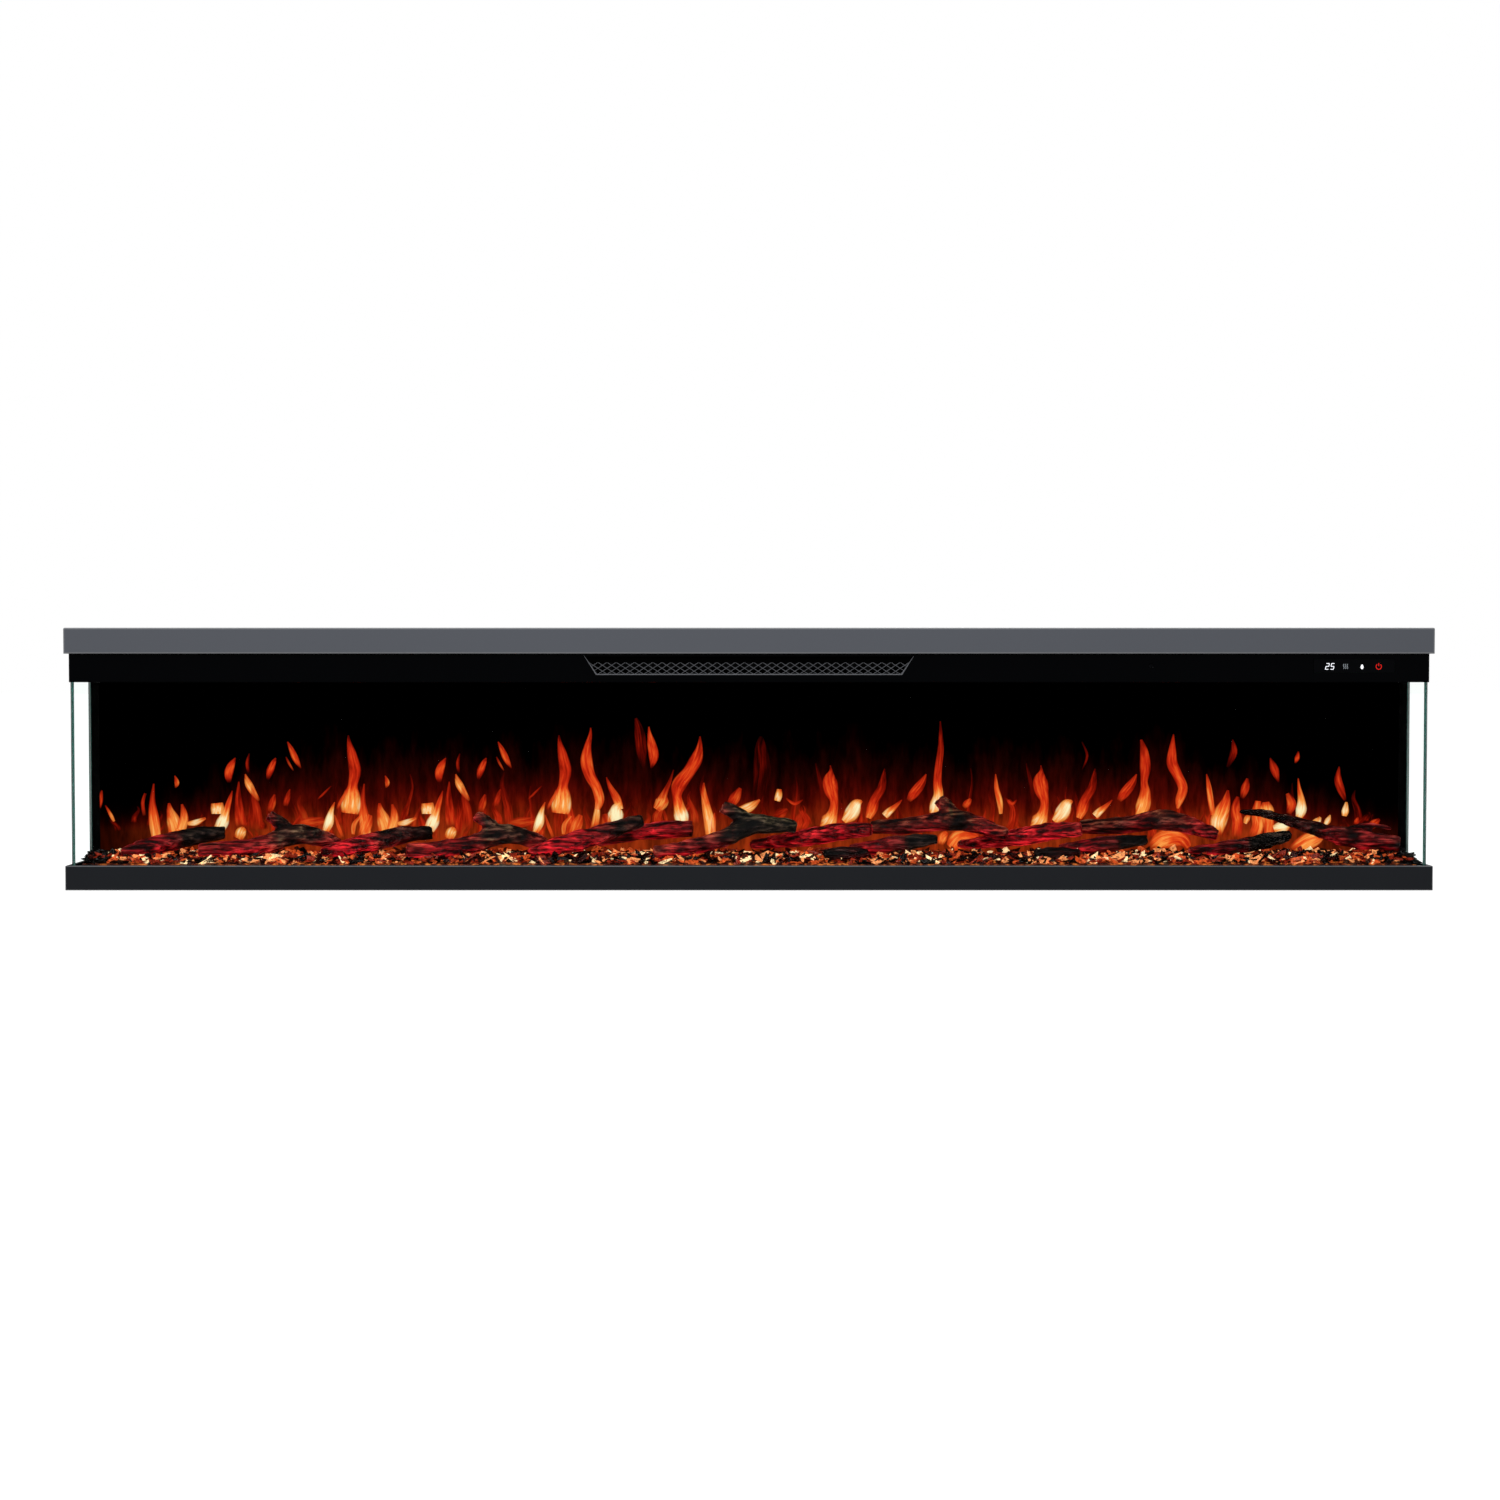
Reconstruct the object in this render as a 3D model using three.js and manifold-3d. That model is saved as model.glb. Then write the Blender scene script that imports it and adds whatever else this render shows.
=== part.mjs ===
// A linear electric fireplace with glass on three sides, 100 inches wide.
// Millimetres, +Z up, the front faces -Y, and the origin is the middle of the footprint on the floor.
// A painted steel base carries the glass, the ember bed and the logs; the steel case behind the flame screen
// holds the flame rotors, and the case above the glass holds the fan heater and the electronics.
import * as THREE from "three";
import { mergeVertices } from "three/addons/utils/BufferGeometryUtils.js";
import Module from "manifold-3d";

// ---- Driving dimensions ----
const WIDTH = 2540;
const DEPTH = 240;
const HEIGHT = 487.5;
const BASE_HEIGHT = 46; // front lip of the base
const FLANGE_HEIGHT = 48; // skirt of the top cover
const FASCIA_HEIGHT = 53; // black band between the top cover and the glass
const SHEET = 2; // steel sheet, with its paint
const INSET = 10.5; // the glass and fascia stand this far inside the base and the top cover
const GLASS = 5; // toughened glass
const SHOWCASE_DEPTH = 131.5; // from the outside of the front glass to the flame screen
const GAP = 0.5; // between pieces that touch
const FASCIA_PROUD = SHEET + GAP; // the fascia stands this far outside the glass
const GLASS_LIFT = 5.5; // the front glass lifts this far to leave its bottom channel

// ---- Planes that follow from them ----
const HALF = WIDTH / 2;
const FRONT = -DEPTH / 2;
const BACK = DEPTH / 2;
const GLASS_X = HALF - INSET; // outside of the side glass
const GLASS_Y = FRONT + INSET; // outside of the front glass
const SCREEN_Y = GLASS_Y + SHOWCASE_DEPTH; // front of the flame screen
const FLANGE_Z = HEIGHT - FLANGE_HEIGHT; // underside of the top cover
const FASCIA_Z = FLANGE_Z - FASCIA_HEIGHT; // lower edge of the fascia
const CEILING_Z = FASCIA_Z + 1; // underside of the panel over the fire
const FLOOR_Z = SHEET + GAP; // what stands inside the base stands on this

// ---- Finishes ----
const finish = (color, roughness, metalness = 0, more = {}) =>
  new THREE.MeshStandardMaterial({ color, roughness, metalness, ...more });
const flangePaint = finish(0x55595f, 0.45, 0.3);
const basePaint = finish(0x242629, 0.5, 0.3);
const blackPaint = finish(0x08090b, 0.35, 0.2);
const clearGlass = finish(0xdff0ea, 0.02, 0, { transparent: true, opacity: 0.25 });
const smokedAcrylic = finish(0x050505, 0.12);
const galvanised = finish(0x9aa0a4, 0.4, 0.9);
const mirrorSteel = finish(0xc8ccd0, 0.15, 1);
const blackMesh = finish(0x3a3d40, 0.45, 0.8);
const blackPlastic = finish(0x111213, 0.5);
const whiteNylon = finish(0xe6e4dc, 0.55);
const circuitGreen = finish(0x14532d, 0.5);
const whiteBoard = finish(0xe8e8e4, 0.5);
const amberResin = finish(0xd9792b, 0.4);
const charredResin = finish(0x3a2420, 0.8);
const emberResin = finish(0xa2511e, 0.6);
const blackAnodised = finish(0x3e3f42, 0.5, 0.8);

// ---- Solid helpers ----
const wasm = await Module();
wasm.setup();

function solid(geometry) {
  const bare = geometry.index ? geometry.toNonIndexed() : geometry.clone();
  bare.deleteAttribute("normal");
  bare.deleteAttribute("uv");
  const merged = mergeVertices(bare, 1e-3);
  return new wasm.Manifold(
    new wasm.Mesh({
      numProp: 3,
      vertProperties: merged.attributes.position.array,
      triVerts: new Uint32Array(merged.index.array),
    }),
  );
}

function geometryOf(made) {
  const mesh = made.getMesh();
  const geometry = new THREE.BufferGeometry();
  geometry.setAttribute("position", new THREE.BufferAttribute(new Float32Array(mesh.vertProperties), 3));
  geometry.setIndex(new THREE.BufferAttribute(mesh.triVerts, 1));
  geometry.computeVertexNormals();
  return geometry;
}

const joined = (pieces) => pieces.reduce((all, piece) => all.add(piece));

// A box between two corners.
function block([x0, y0, z0], [x1, y1, z1]) {
  const box = new THREE.BoxGeometry(x1 - x0, y1 - y0, z1 - z0);
  return solid(box.translate((x0 + x1) / 2, (y0 + y1) / 2, (z0 + z1) / 2));
}

// A box from -x to x.
const wideBlock = (x, [y0, z0], [y1, z1]) => block([-x, y0, z0], [x, y1, z1]);

const AXES = { x: new THREE.Vector3(1, 0, 0), y: new THREE.Vector3(0, 1, 0), z: new THREE.Vector3(0, 0, 1) };
const ALONG_X = new THREE.Matrix4().makeBasis(AXES.y, AXES.z, AXES.x);
const ALONG_Y = new THREE.Matrix4().makeBasis(AXES.x, AXES.z, AXES.y.clone().negate());

function outline(points) {
  return points instanceof THREE.Shape
    ? points
    : new THREE.Shape(points.map(([u, v]) => new THREE.Vector2(u, v)));
}

// A (y, z) outline extruded from x0 to x1.
function prismX(points, x0, x1, holes = []) {
  const shape = outline(points);
  shape.holes = holes;
  const made = new THREE.ExtrudeGeometry(shape, { depth: x1 - x0, bevelEnabled: false });
  return solid(made.applyMatrix4(ALONG_X).translate(x0, 0, 0));
}

// An (x, z) outline extruded from y0 to y1.
function prismY(points, y0, y1, holes = []) {
  const shape = outline(points);
  shape.holes = holes;
  const made = new THREE.ExtrudeGeometry(shape, { depth: y1 - y0, bevelEnabled: false });
  return solid(made.applyMatrix4(ALONG_Y).translate(0, y1, 0));
}

// A rod along X.
function rodX(y, z, radius, x0, x1, sides = 16) {
  const rod = new THREE.CylinderGeometry(radius, radius, x1 - x0, sides);
  return solid(rod.rotateZ(-Math.PI / 2).translate((x0 + x1) / 2, y, z));
}

const part = new THREE.Group();

function add(name, made, material) {
  const mesh = new THREE.Mesh(geometryOf(made), material);
  mesh.name = name;
  part.add(mesh);
}

// ---- Base: an open steel tray with a narrow return at the top of its front and sides ----
const RETURN = INSET - 2.5; // width of the return
{
  const hollow = wideBlock(HALF - SHEET, [FRONT + SHEET, SHEET], [BACK - SHEET, BASE_HEIGHT - SHEET]);
  const mouth = wideBlock(HALF - RETURN, [FRONT + RETURN, BASE_HEIGHT - 3], [BACK - SHEET, BASE_HEIGHT + 1]);
  const outer = wideBlock(HALF, [FRONT, 0], [BACK, BASE_HEIGHT]);
  add("base_tray", outer.subtract(hollow).subtract(mouth), basePaint);
}

// ---- Top cover: a lid whose skirt is the grey band, with a return under it ----
{
  const hollow = wideBlock(HALF - SHEET, [FRONT + SHEET, FLANGE_Z + SHEET], [BACK - SHEET, HEIGHT - SHEET]);
  const reach = RETURN - GAP;
  const mouth = wideBlock(HALF - reach, [FRONT + reach, FLANGE_Z - 1], [BACK - SHEET, FLANGE_Z + 3]);
  const outer = wideBlock(HALF, [FRONT, FLANGE_Z], [BACK, HEIGHT]);
  add("top_cover", outer.subtract(hollow).subtract(mouth), flangePaint);
}

// ---- Fascia: a black U round the front and sides, with the warm air outlet and the display window ----
const FASCIA_FRONT = GLASS_Y - FASCIA_PROUD;
const FASCIA_BACK = FASCIA_FRONT + SHEET;
const OUTLET = { top: 609, bottom: 564, z0: FASCIA_Z + 15.5, z1: FASCIA_Z + 48, frame: 2 };
const WINDOW = { x0: 1047, x1: 1198, z0: FASCIA_Z + 17.5, z1: FASCIA_Z + 43 };
const RECEIVER = { x: 746, z: FASCIA_Z + 31, radius: 4 };

function outletOutline(grow) {
  const slant = (OUTLET.top - OUTLET.bottom) / 2;
  return [
    [-OUTLET.bottom / 2 - grow, OUTLET.z0 - grow],
    [OUTLET.bottom / 2 + grow, OUTLET.z0 - grow],
    [OUTLET.bottom / 2 + slant + grow, OUTLET.z1 + grow],
    [-OUTLET.bottom / 2 - slant - grow, OUTLET.z1 + grow],
  ];
}

{
  const x = GLASS_X + FASCIA_PROUD;
  const outer = wideBlock(x, [FASCIA_FRONT, FASCIA_Z], [SCREEN_Y - GAP, HEIGHT - 5]);
  const inner = wideBlock(x - SHEET, [FASCIA_BACK, FASCIA_Z - 1], [SCREEN_Y + 1, HEIGHT]);
  const outlet = prismY(outletOutline(0), FASCIA_FRONT - 1, FASCIA_BACK + 1);
  const display = block([WINDOW.x0, FASCIA_FRONT - 1, WINDOW.z0], [WINDOW.x1, FASCIA_BACK + 1, WINDOW.z1]);
  const eye = new THREE.CylinderGeometry(RECEIVER.radius, RECEIVER.radius, 8, 16);
  const receiver = solid(eye.translate(RECEIVER.x, FASCIA_FRONT, RECEIVER.z));
  const cuts = joined([outlet, display, receiver]);
  add("upper_fascia", outer.subtract(inner).subtract(cuts), blackPaint);
}

// ---- Rear case: back and end panels folded from one sheet, with cooling slots ----
const CASE_X = GLASS_X;
const CASE_Y0 = SCREEN_Y + 4;
const CASE_Y1 = BACK - SHEET - GAP;
const GLAND = { y: 95, z: 80, radius: 7 };
const SLOT = { length: 62, height: 5, pitch: 12, count: 5 };
{
  const outer = wideBlock(CASE_X, [CASE_Y0, FLOOR_Z], [CASE_Y1, HEIGHT - SHEET - GAP]);
  const inner = wideBlock(CASE_X - SHEET, [CASE_Y0 + SHEET, FLOOR_Z - 1], [CASE_Y1 - SHEET, HEIGHT]);
  const front = wideBlock(CASE_X - 20, [CASE_Y0 - 1, FLOOR_Z - 1], [CASE_Y0 + 20, HEIGHT]);
  const cuts = [inner, front, rodX(GLAND.y, GLAND.z, GLAND.radius + GAP, CASE_X - 10, CASE_X + 5)];
  for (const middle of [-720, 0, 720]) {
    for (let row = 0; row < SLOT.count; row += 1) {
      const z = 350 + row * SLOT.pitch;
      for (const side of [-1, 1]) {
        const x = middle + side * (SLOT.length / 2 + 6);
        cuts.push(
          block(
            [x - SLOT.length / 2, CASE_Y1 - 5, z],
            [x + SLOT.length / 2, CASE_Y1 + 5, z + SLOT.height],
          ),
        );
      }
    }
  }
  add("rear_case", cuts.reduce((made, cut) => made.subtract(cut), outer), blackPaint);
}

// ---- Panel over the fire and the two posts at the back edges of the side glass ----
add(
  "ceiling_panel",
  wideBlock(GLASS_X, [GLASS_Y + GLASS + 1, CEILING_Z], [SCREEN_Y - GAP, CEILING_Z + SHEET]),
  blackPaint,
);
for (const [side, name] of [[-1, "left_rear_post"], [1, "right_rear_post"]]) {
  const inner = side * (GLASS_X - 20);
  const outer = side * GLASS_X;
  add(
    name,
    block(
      [Math.min(inner, outer), SCREEN_Y - 3.5, FLOOR_Z],
      [Math.max(inner, outer), SCREEN_Y - GAP, CEILING_Z - GAP],
    ),
    blackPaint,
  );
}

// ---- Glass and its bottom channels ----
const CHANNEL_TOP = BASE_HEIGHT - GAP;
const GLASS_Z = CHANNEL_TOP - (GLASS_LIFT - 1); // bottom edge of the glass: the lift clears it by 1 mm
const CHANNEL = { wall: 1.5, slot: GLASS + 1, foot: GLASS_Z - 2.5 };
add(
  "front_glass",
  wideBlock(GLASS_X, [GLASS_Y, GLASS_Z], [GLASS_Y + GLASS, FASCIA_Z + 5]),
  clearGlass,
);

// A U that holds the edge of the glass, on a web that stands on the floor of the base.
function channelOutline(middle) {
  const half = CHANNEL.slot / 2;
  const outer = half + CHANNEL.wall;
  const web = CHANNEL.wall / 2;
  return [
    [middle - web, FLOOR_Z],
    [middle + web, FLOOR_Z],
    [middle + web, CHANNEL.foot],
    [middle + outer, CHANNEL.foot],
    [middle + outer, CHANNEL_TOP],
    [middle + half, CHANNEL_TOP],
    [middle + half, CHANNEL.foot + CHANNEL.wall],
    [middle - half, CHANNEL.foot + CHANNEL.wall],
    [middle - half, CHANNEL_TOP],
    [middle - outer, CHANNEL_TOP],
    [middle - outer, CHANNEL.foot],
    [middle - web, CHANNEL.foot],
  ];
}
add(
  "front_glass_channel",
  prismX(channelOutline(GLASS_Y + GLASS / 2), -GLASS_X + GLASS + 1, GLASS_X - GLASS - 1),
  blackPaint,
);
const SIDE_GLASS_Y1 = SCREEN_Y - 4;
for (const [side, name] of [[-1, "left"], [1, "right"]]) {
  const outer = side * GLASS_X;
  const inner = side * (GLASS_X - GLASS);
  add(
    name + "_side_glass",
    block(
      [Math.min(outer, inner), GLASS_Y + GLASS + GAP, GLASS_Z],
      [Math.max(outer, inner), SIDE_GLASS_Y1, CEILING_Z - GAP],
    ),
    clearGlass,
  );
  add(
    name + "_glass_channel",
    prismY(channelOutline((outer + inner) / 2), GLASS_Y + GLASS + 2.5, SIDE_GLASS_Y1),
    blackPaint,
  );
}

// ---- Flame screen, and behind it the polished plate whose flame-shaped slots make the picture ----
add(
  "flame_screen",
  wideBlock(CASE_X - 8, [SCREEN_Y, 30], [SCREEN_Y + 3, FASCIA_Z]),
  smokedAcrylic,
);
const STENCIL = { y: SCREEN_Y + 18, z0: 55, z1: 375, pitch: 116, count: 20 };

// One flame: a bulb at the foot, narrowing along an S to a point.
function flameHole(x, height, lean) {
  const hole = new THREE.Path();
  const z = 100;
  hole.moveTo(x - 4, z);
  hole.quadraticCurveTo(x - 17, z + height * 0.3, x - 4 + lean * 0.4, z + height * 0.6);
  hole.quadraticCurveTo(x + 2 + lean * 0.4, z + height * 0.8, x + lean, z + height);
  hole.quadraticCurveTo(x + 12 + lean * 0.5, z + height * 0.7, x + 10, z + height * 0.4);
  hole.quadraticCurveTo(x + 14, z + height * 0.15, x + 4, z);
  hole.closePath();
  const points = hole.getPoints(3);
  return new THREE.Path(points);
}
{
  const holes = [];
  for (let i = 0; i < STENCIL.count; i += 1) {
    const x = (i - (STENCIL.count - 1) / 2) * STENCIL.pitch;
    holes.push(flameHole(x, 120 + 60 * Math.sin(i * 2.4), 14 * Math.cos(i * 1.7)));
  }
  const x = CASE_X - SHEET - GAP;
  const sheet = [[-x, STENCIL.z0], [x, STENCIL.z0], [x, STENCIL.z1], [-x, STENCIL.z1]];
  add("flame_stencil", prismY(sheet, STENCIL.y, STENCIL.y + 1, holes), mirrorSteel);
}

// ---- Flame rotors: long spindles with bright fins that turn in the light of the lamp strip ----
const ROTOR = { y: 75, z: 90, rod: 4, fin: 16, motor: 1196, fins: 15 };
const MOTOR_BORE = ROTOR.rod + 0.5;
function rotor(x0, x1) {
  const pieces = [rodX(ROTOR.y, ROTOR.z, ROTOR.rod, x0, x1, 12)];
  const pitch = (x1 - x0 - 40) / ROTOR.fins;
  for (let i = 0; i < ROTOR.fins; i += 1) {
    const fin = new THREE.BoxGeometry(pitch * 0.7, 2 * ROTOR.fin, 0.8);
    fin.rotateX((i * Math.PI) / 5).translate(x0 + 20 + (i + 0.5) * pitch, ROTOR.y, ROTOR.z);
    pieces.push(solid(fin));
  }
  return joined(pieces);
}
for (const [side, name] of [[-1, "left"], [1, "right"]]) {
  const ends = [side * 2, side * (ROTOR.motor + 2)].sort((a, b) => a - b);
  add("flame_rotor_" + name, rotor(...ends), mirrorSteel);

  // A synchronous motor outside its bracket; its hollow boss passes through and takes the rotor's rod.
  const place = (inner, outer) => [side * inner, side * outer].sort((a, b) => a - b);
  const can = rodX(ROTOR.y, ROTOR.z, 25, ...place(ROTOR.motor + SHEET + GAP, ROTOR.motor + 25), 20);
  const boss = rodX(ROTOR.y, ROTOR.z, 7.5, ...place(ROTOR.motor - 6, ROTOR.motor + 10));
  const bore = rodX(ROTOR.y, ROTOR.z, MOTOR_BORE, ...place(ROTOR.motor - 20, ROTOR.motor + 4));
  add("rotor_motor_" + name, can.add(boss).subtract(bore), galvanised);

  const plate = block(
    [place(ROTOR.motor, ROTOR.motor + SHEET)[0], 46, FLOOR_Z],
    [place(ROTOR.motor, ROTOR.motor + SHEET)[1], 112, 125],
  );
  const window = rodX(ROTOR.y, ROTOR.z, 8, ...place(ROTOR.motor - 5, ROTOR.motor + 9));
  add("motor_bracket_" + name, plate.subtract(window), galvanised);
}

// ---- The bearing block between the rotors, with a nylon bush for each ----
{
  const block0 = block([-10, 60, FLOOR_Z], [10, 90, 106]);
  add("rotor_centre_block", block0.subtract(rodX(ROTOR.y, ROTOR.z, 8.4, -15, 15)), galvanised);
  for (const [side, name] of [[-1, "left"], [1, "right"]]) {
    const ends = [side * GAP, side * 10].sort((a, b) => a - b);
    const ring = rodX(ROTOR.y, ROTOR.z, 8, ...ends);
    add("rotor_bush_" + name, ring.subtract(rodX(ROTOR.y, ROTOR.z, ROTOR.rod + 0.4, -15, 15)), whiteNylon);
  }
}

// ---- Lamp strips: a board with a row of square lamps ----
function lampStrip(x, [y0, z0], [y1, z1], lamp) {
  const pieces = [wideBlock(x, [y0, z0], [y1, z1])];
  const count = 20;
  for (let i = 0; i < count; i += 1) {
    const middle = ((i + 0.5) / count - 0.5) * 2 * x;
    pieces.push(block([middle - 3, ...lamp[0]], [middle + 3, ...lamp[1]]));
  }
  return joined(pieces);
}
add(
  "flame_lamp_strip",
  lampStrip(1180, [112, 84], [113.6, 96], [[110.4, 87], [113, 93]]),
  whiteBoard,
);
add(
  "ember_lamp_strip",
  lampStrip(1200, [-48, 8], [-36, 9.6], [[-45, 9], [-39, 11.2]]),
  whiteBoard,
);

// ---- Ember tray and the bed of chips that lies on it ----
const TRAY = { x: CASE_X - 8, y0: GLASS_Y + 7, y1: SIDE_GLASS_Y1 - GAP, z: 34, wall: 3 };
add(
  "ember_tray",
  prismX(
    [
      [TRAY.y0, FLOOR_Z],
      [TRAY.y0 + TRAY.wall, FLOOR_Z],
      [TRAY.y0 + TRAY.wall, TRAY.z - TRAY.wall],
      [TRAY.y1 - TRAY.wall, TRAY.z - TRAY.wall],
      [TRAY.y1 - TRAY.wall, FLOOR_Z],
      [TRAY.y1, FLOOR_Z],
      [TRAY.y1, TRAY.z],
      [TRAY.y0, TRAY.z],
    ],
    -TRAY.x,
    TRAY.x,
  ),
  amberResin,
);
add(
  "ember_bed",
  prismX(
    [
      [TRAY.y0, TRAY.z + GAP],
      [TRAY.y1, TRAY.z + GAP],
      [TRAY.y1, 56],
      [-55, 54.5],
      [-85, 52],
      [TRAY.y0, 46],
    ],
    -TRAY.x + 8,
    TRAY.x - 8,
  ),
  emberResin,
);

// ---- Logs: moulded resin, each bent along its own line of [x, y, z, radius] ----
const LOG_SIDES = 9;
function bentLog(points) {
  const spine = new THREE.CatmullRomCurve3(
    points.map(([x, y, z]) => new THREE.Vector3(x, y, z)),
    false,
    "centripetal",
  );
  const rings = 2 * (points.length - 1);
  const log = new THREE.CylinderGeometry(1, 1, 1, LOG_SIDES, rings);
  const position = log.attributes.position;
  for (let i = 0; i < position.count; i += 1) {
    const t = 0.5 - position.getY(i); // the cylinder's top is the log's first point
    const along = t * (points.length - 1);
    const before = Math.min(Math.floor(along), points.length - 2);
    const radius = THREE.MathUtils.lerp(points[before][3], points[before + 1][3], along - before);
    const centre = spine.getPoint(t);
    const ahead = spine.getTangent(t);
    const level = new THREE.Vector3().crossVectors(AXES.z, ahead).normalize();
    const up = new THREE.Vector3().crossVectors(ahead, level);
    centre.addScaledVector(level, radius * position.getX(i));
    centre.addScaledVector(up, -radius * position.getZ(i));
    position.setXYZ(i, centre.x, centre.y, centre.z);
  }
  const made = solid(log);
  return made.volume() < 0 ? solid(flipped(log)) : made;
}

function flipped(geometry) {
  const bare = geometry.toNonIndexed();
  const position = bare.attributes.position;
  for (let i = 0; i < position.count; i += 3) {
    const a = new THREE.Vector3().fromBufferAttribute(position, i);
    const b = new THREE.Vector3().fromBufferAttribute(position, i + 1);
    position.setXYZ(i, b.x, b.y, b.z);
    position.setXYZ(i + 1, a.x, a.y, a.z);
  }
  return bare;
}

// The moulded shapes, each from its left end. Some have a second line, the stub of a branch.
const SLOPING = [
  [[0, -80, 67, 9], [42, -72, 77, 16], [90, -56, 87, 18], [140, -40, 98, 17], [184, -30, 101, 12]],
];
const LEANING = [
  [[0, -84, 67, 10], [45, -78, 75, 18], [95, -62, 86, 19], [150, -44, 99, 17], [202, -32, 102, 13]],
];
const CROOKED = [
  [
    [0, -83, 71, 13], [47, -78, 72, 17], [97, -72, 77, 18], [140, -64, 88, 19],
    [168, -58, 100, 21], [213, -50, 96, 17], [258, -42, 80, 12],
  ],
  [[172, -58, 100, 14], [150, -60, 121, 13], [128, -62, 137, 11]],
];
const RAISED = [
  [[0, -80, 67, 9], [49, -76, 78, 18], [100, -66, 91, 20], [150, -56, 107, 17], [212, -48, 127, 12]],
];
const STOUT = [[[0, -6, 80, 9], [68, -8, 96, 14], [135, -14, 106, 18], [190, -18, 107, 16]]];
const FORKED = [
  [
    [0, -84, 69, 12], [50, -80, 74, 14], [100, -76, 85, 16], [144, -70, 99, 18],
    [178, -66, 119, 21], [217, -61, 119, 17], [266, -54, 115, 13],
  ],
  [[180, -66, 122, 15], [154, -68, 141, 14], [128, -70, 154, 12]],
];
const SPLIT = [[
  [0, -14, 78, 8], [50, -22, 84, 13], [112, -34, 93, 17],
  [165, -42, 104, 18], [228, -58, 110, 13],
]];
const ARCHED = [
  [
    [0, -16, 111, 13], [54, -22, 113, 16], [104, -26, 118, 17], [153, -32, 127, 21],
    [194, -42, 120, 18], [231, -54, 107, 15], [255, -62, 100, 11],
  ],
];
const STUB_ON_ARCH = [[160, -30, 128, 17], [146, -26, 148, 15], [130, -22, 165, 13]];
const UNDER = [[
  [0, -60, 72, 9], [41, -62, 76, 14], [78, -63, 81, 16],
  [128, -65, 87, 14], [165, -66, 92, 9],
]];
const CHARRED = [[[0, -89, 66, 9], [30, -89, 67, 12], [60, -88, 67, 12], [86, -87, 68, 8]]];
const THIN_END = [[
  [0, -76, 71, 7], [47, -75, 74, 12], [96, -72, 79, 15],
  [147, -67, 88, 15], [194, -62, 100, 10],
]];
const LONG_BRANCH = [
  [
    [4, -8, 140, 5], [43, -11, 138, 8], [94, -16, 124, 10], [144, -22, 109, 14],
    [194, -28, 95, 19], [244, -32, 87, 19], [302, -36, 81, 13],
  ],
  [[196, -26, 104, 8], [234, -25, 115, 6], [290, -24, 109, 4]],
];

// The same moulds come again one step along.
const STEP = 395;
const LOGS = [
  ["log_01", -1175, SLOPING],
  ["log_02", -1030, CROOKED],
  ["log_03", -801, LEANING],
  ["log_04", -1036 + STEP, CROOKED],
  ["log_05", -412, RAISED],
  ["log_06", -297, STOUT],
  ["log_07", -178, FORKED],
  ["log_08", 2, SPLIT],
  ["log_09", 230, [...ARCHED, STUB_ON_ARCH]],
  ["log_10", 188, UNDER],
  ["log_11", 138, CHARRED],
  ["log_12", 2 + STEP, SPLIT],
  ["log_13", 230 + STEP, ARCHED],
  ["log_14", 188 + STEP, UNDER],
  ["log_15", 138 + STEP, CHARRED],
  ["log_16", 823, THIN_END],
  ["log_17", 927, LONG_BRANCH],
];
for (const [name, x, shape] of LOGS) {
  const limbs = shape.map((limb) => bentLog(limb.map(([dx, ...rest]) => [x + dx, ...rest])));
  add(name, joined(limbs), charredResin);
}

// ---- Warm air outlet: a bezel on the fascia and a diamond mesh behind it ----
{
  const hole = new THREE.Path(outletOutline(0).map(([x, z]) => new THREE.Vector2(x, z)));
  const rim = outletOutline(OUTLET.frame);
  add("outlet_bezel", prismY(rim, FASCIA_FRONT - 1.8, FASCIA_FRONT - GAP, [hole]), blackMesh);
}
const MESH = { pitch: 17, rows: 3, strand: 0.9, y0: FASCIA_BACK + GAP, y1: FASCIA_BACK + 1.5 };
{
  const z0 = OUTLET.z0 - 0.5;
  const z1 = OUTLET.z1;
  const rise = (z1 - z0) / MESH.rows;
  const half = OUTLET.top / 2 + 4;
  const holes = [];
  const columns = Math.floor((2 * half) / MESH.pitch) - 1;
  for (let row = 0; row < 2 * MESH.rows - 1; row += 1) {
    const offset = row % 2 ? 0 : 0.5;
    for (let i = -columns / 2; i + offset <= columns / 2; i += 1) {
      const x = (i + offset) * MESH.pitch;
      const z = z0 + (row + 1) * (rise / 2);
      const a = MESH.pitch / 2 - MESH.strand;
      const b = rise / 2 - MESH.strand * 0.75;
      const diamond = [[x - a, z], [x, z - b], [x + a, z], [x, z + b]];
      holes.push(new THREE.Path(diamond.map(([u, v]) => new THREE.Vector2(u, v))));
    }
  }
  const sheet = [[-half, z0], [half, z0], [half, z1], [-half, z1]];
  add("outlet_grille", prismY(sheet, MESH.y0, MESH.y1, holes), blackMesh);
}

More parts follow.
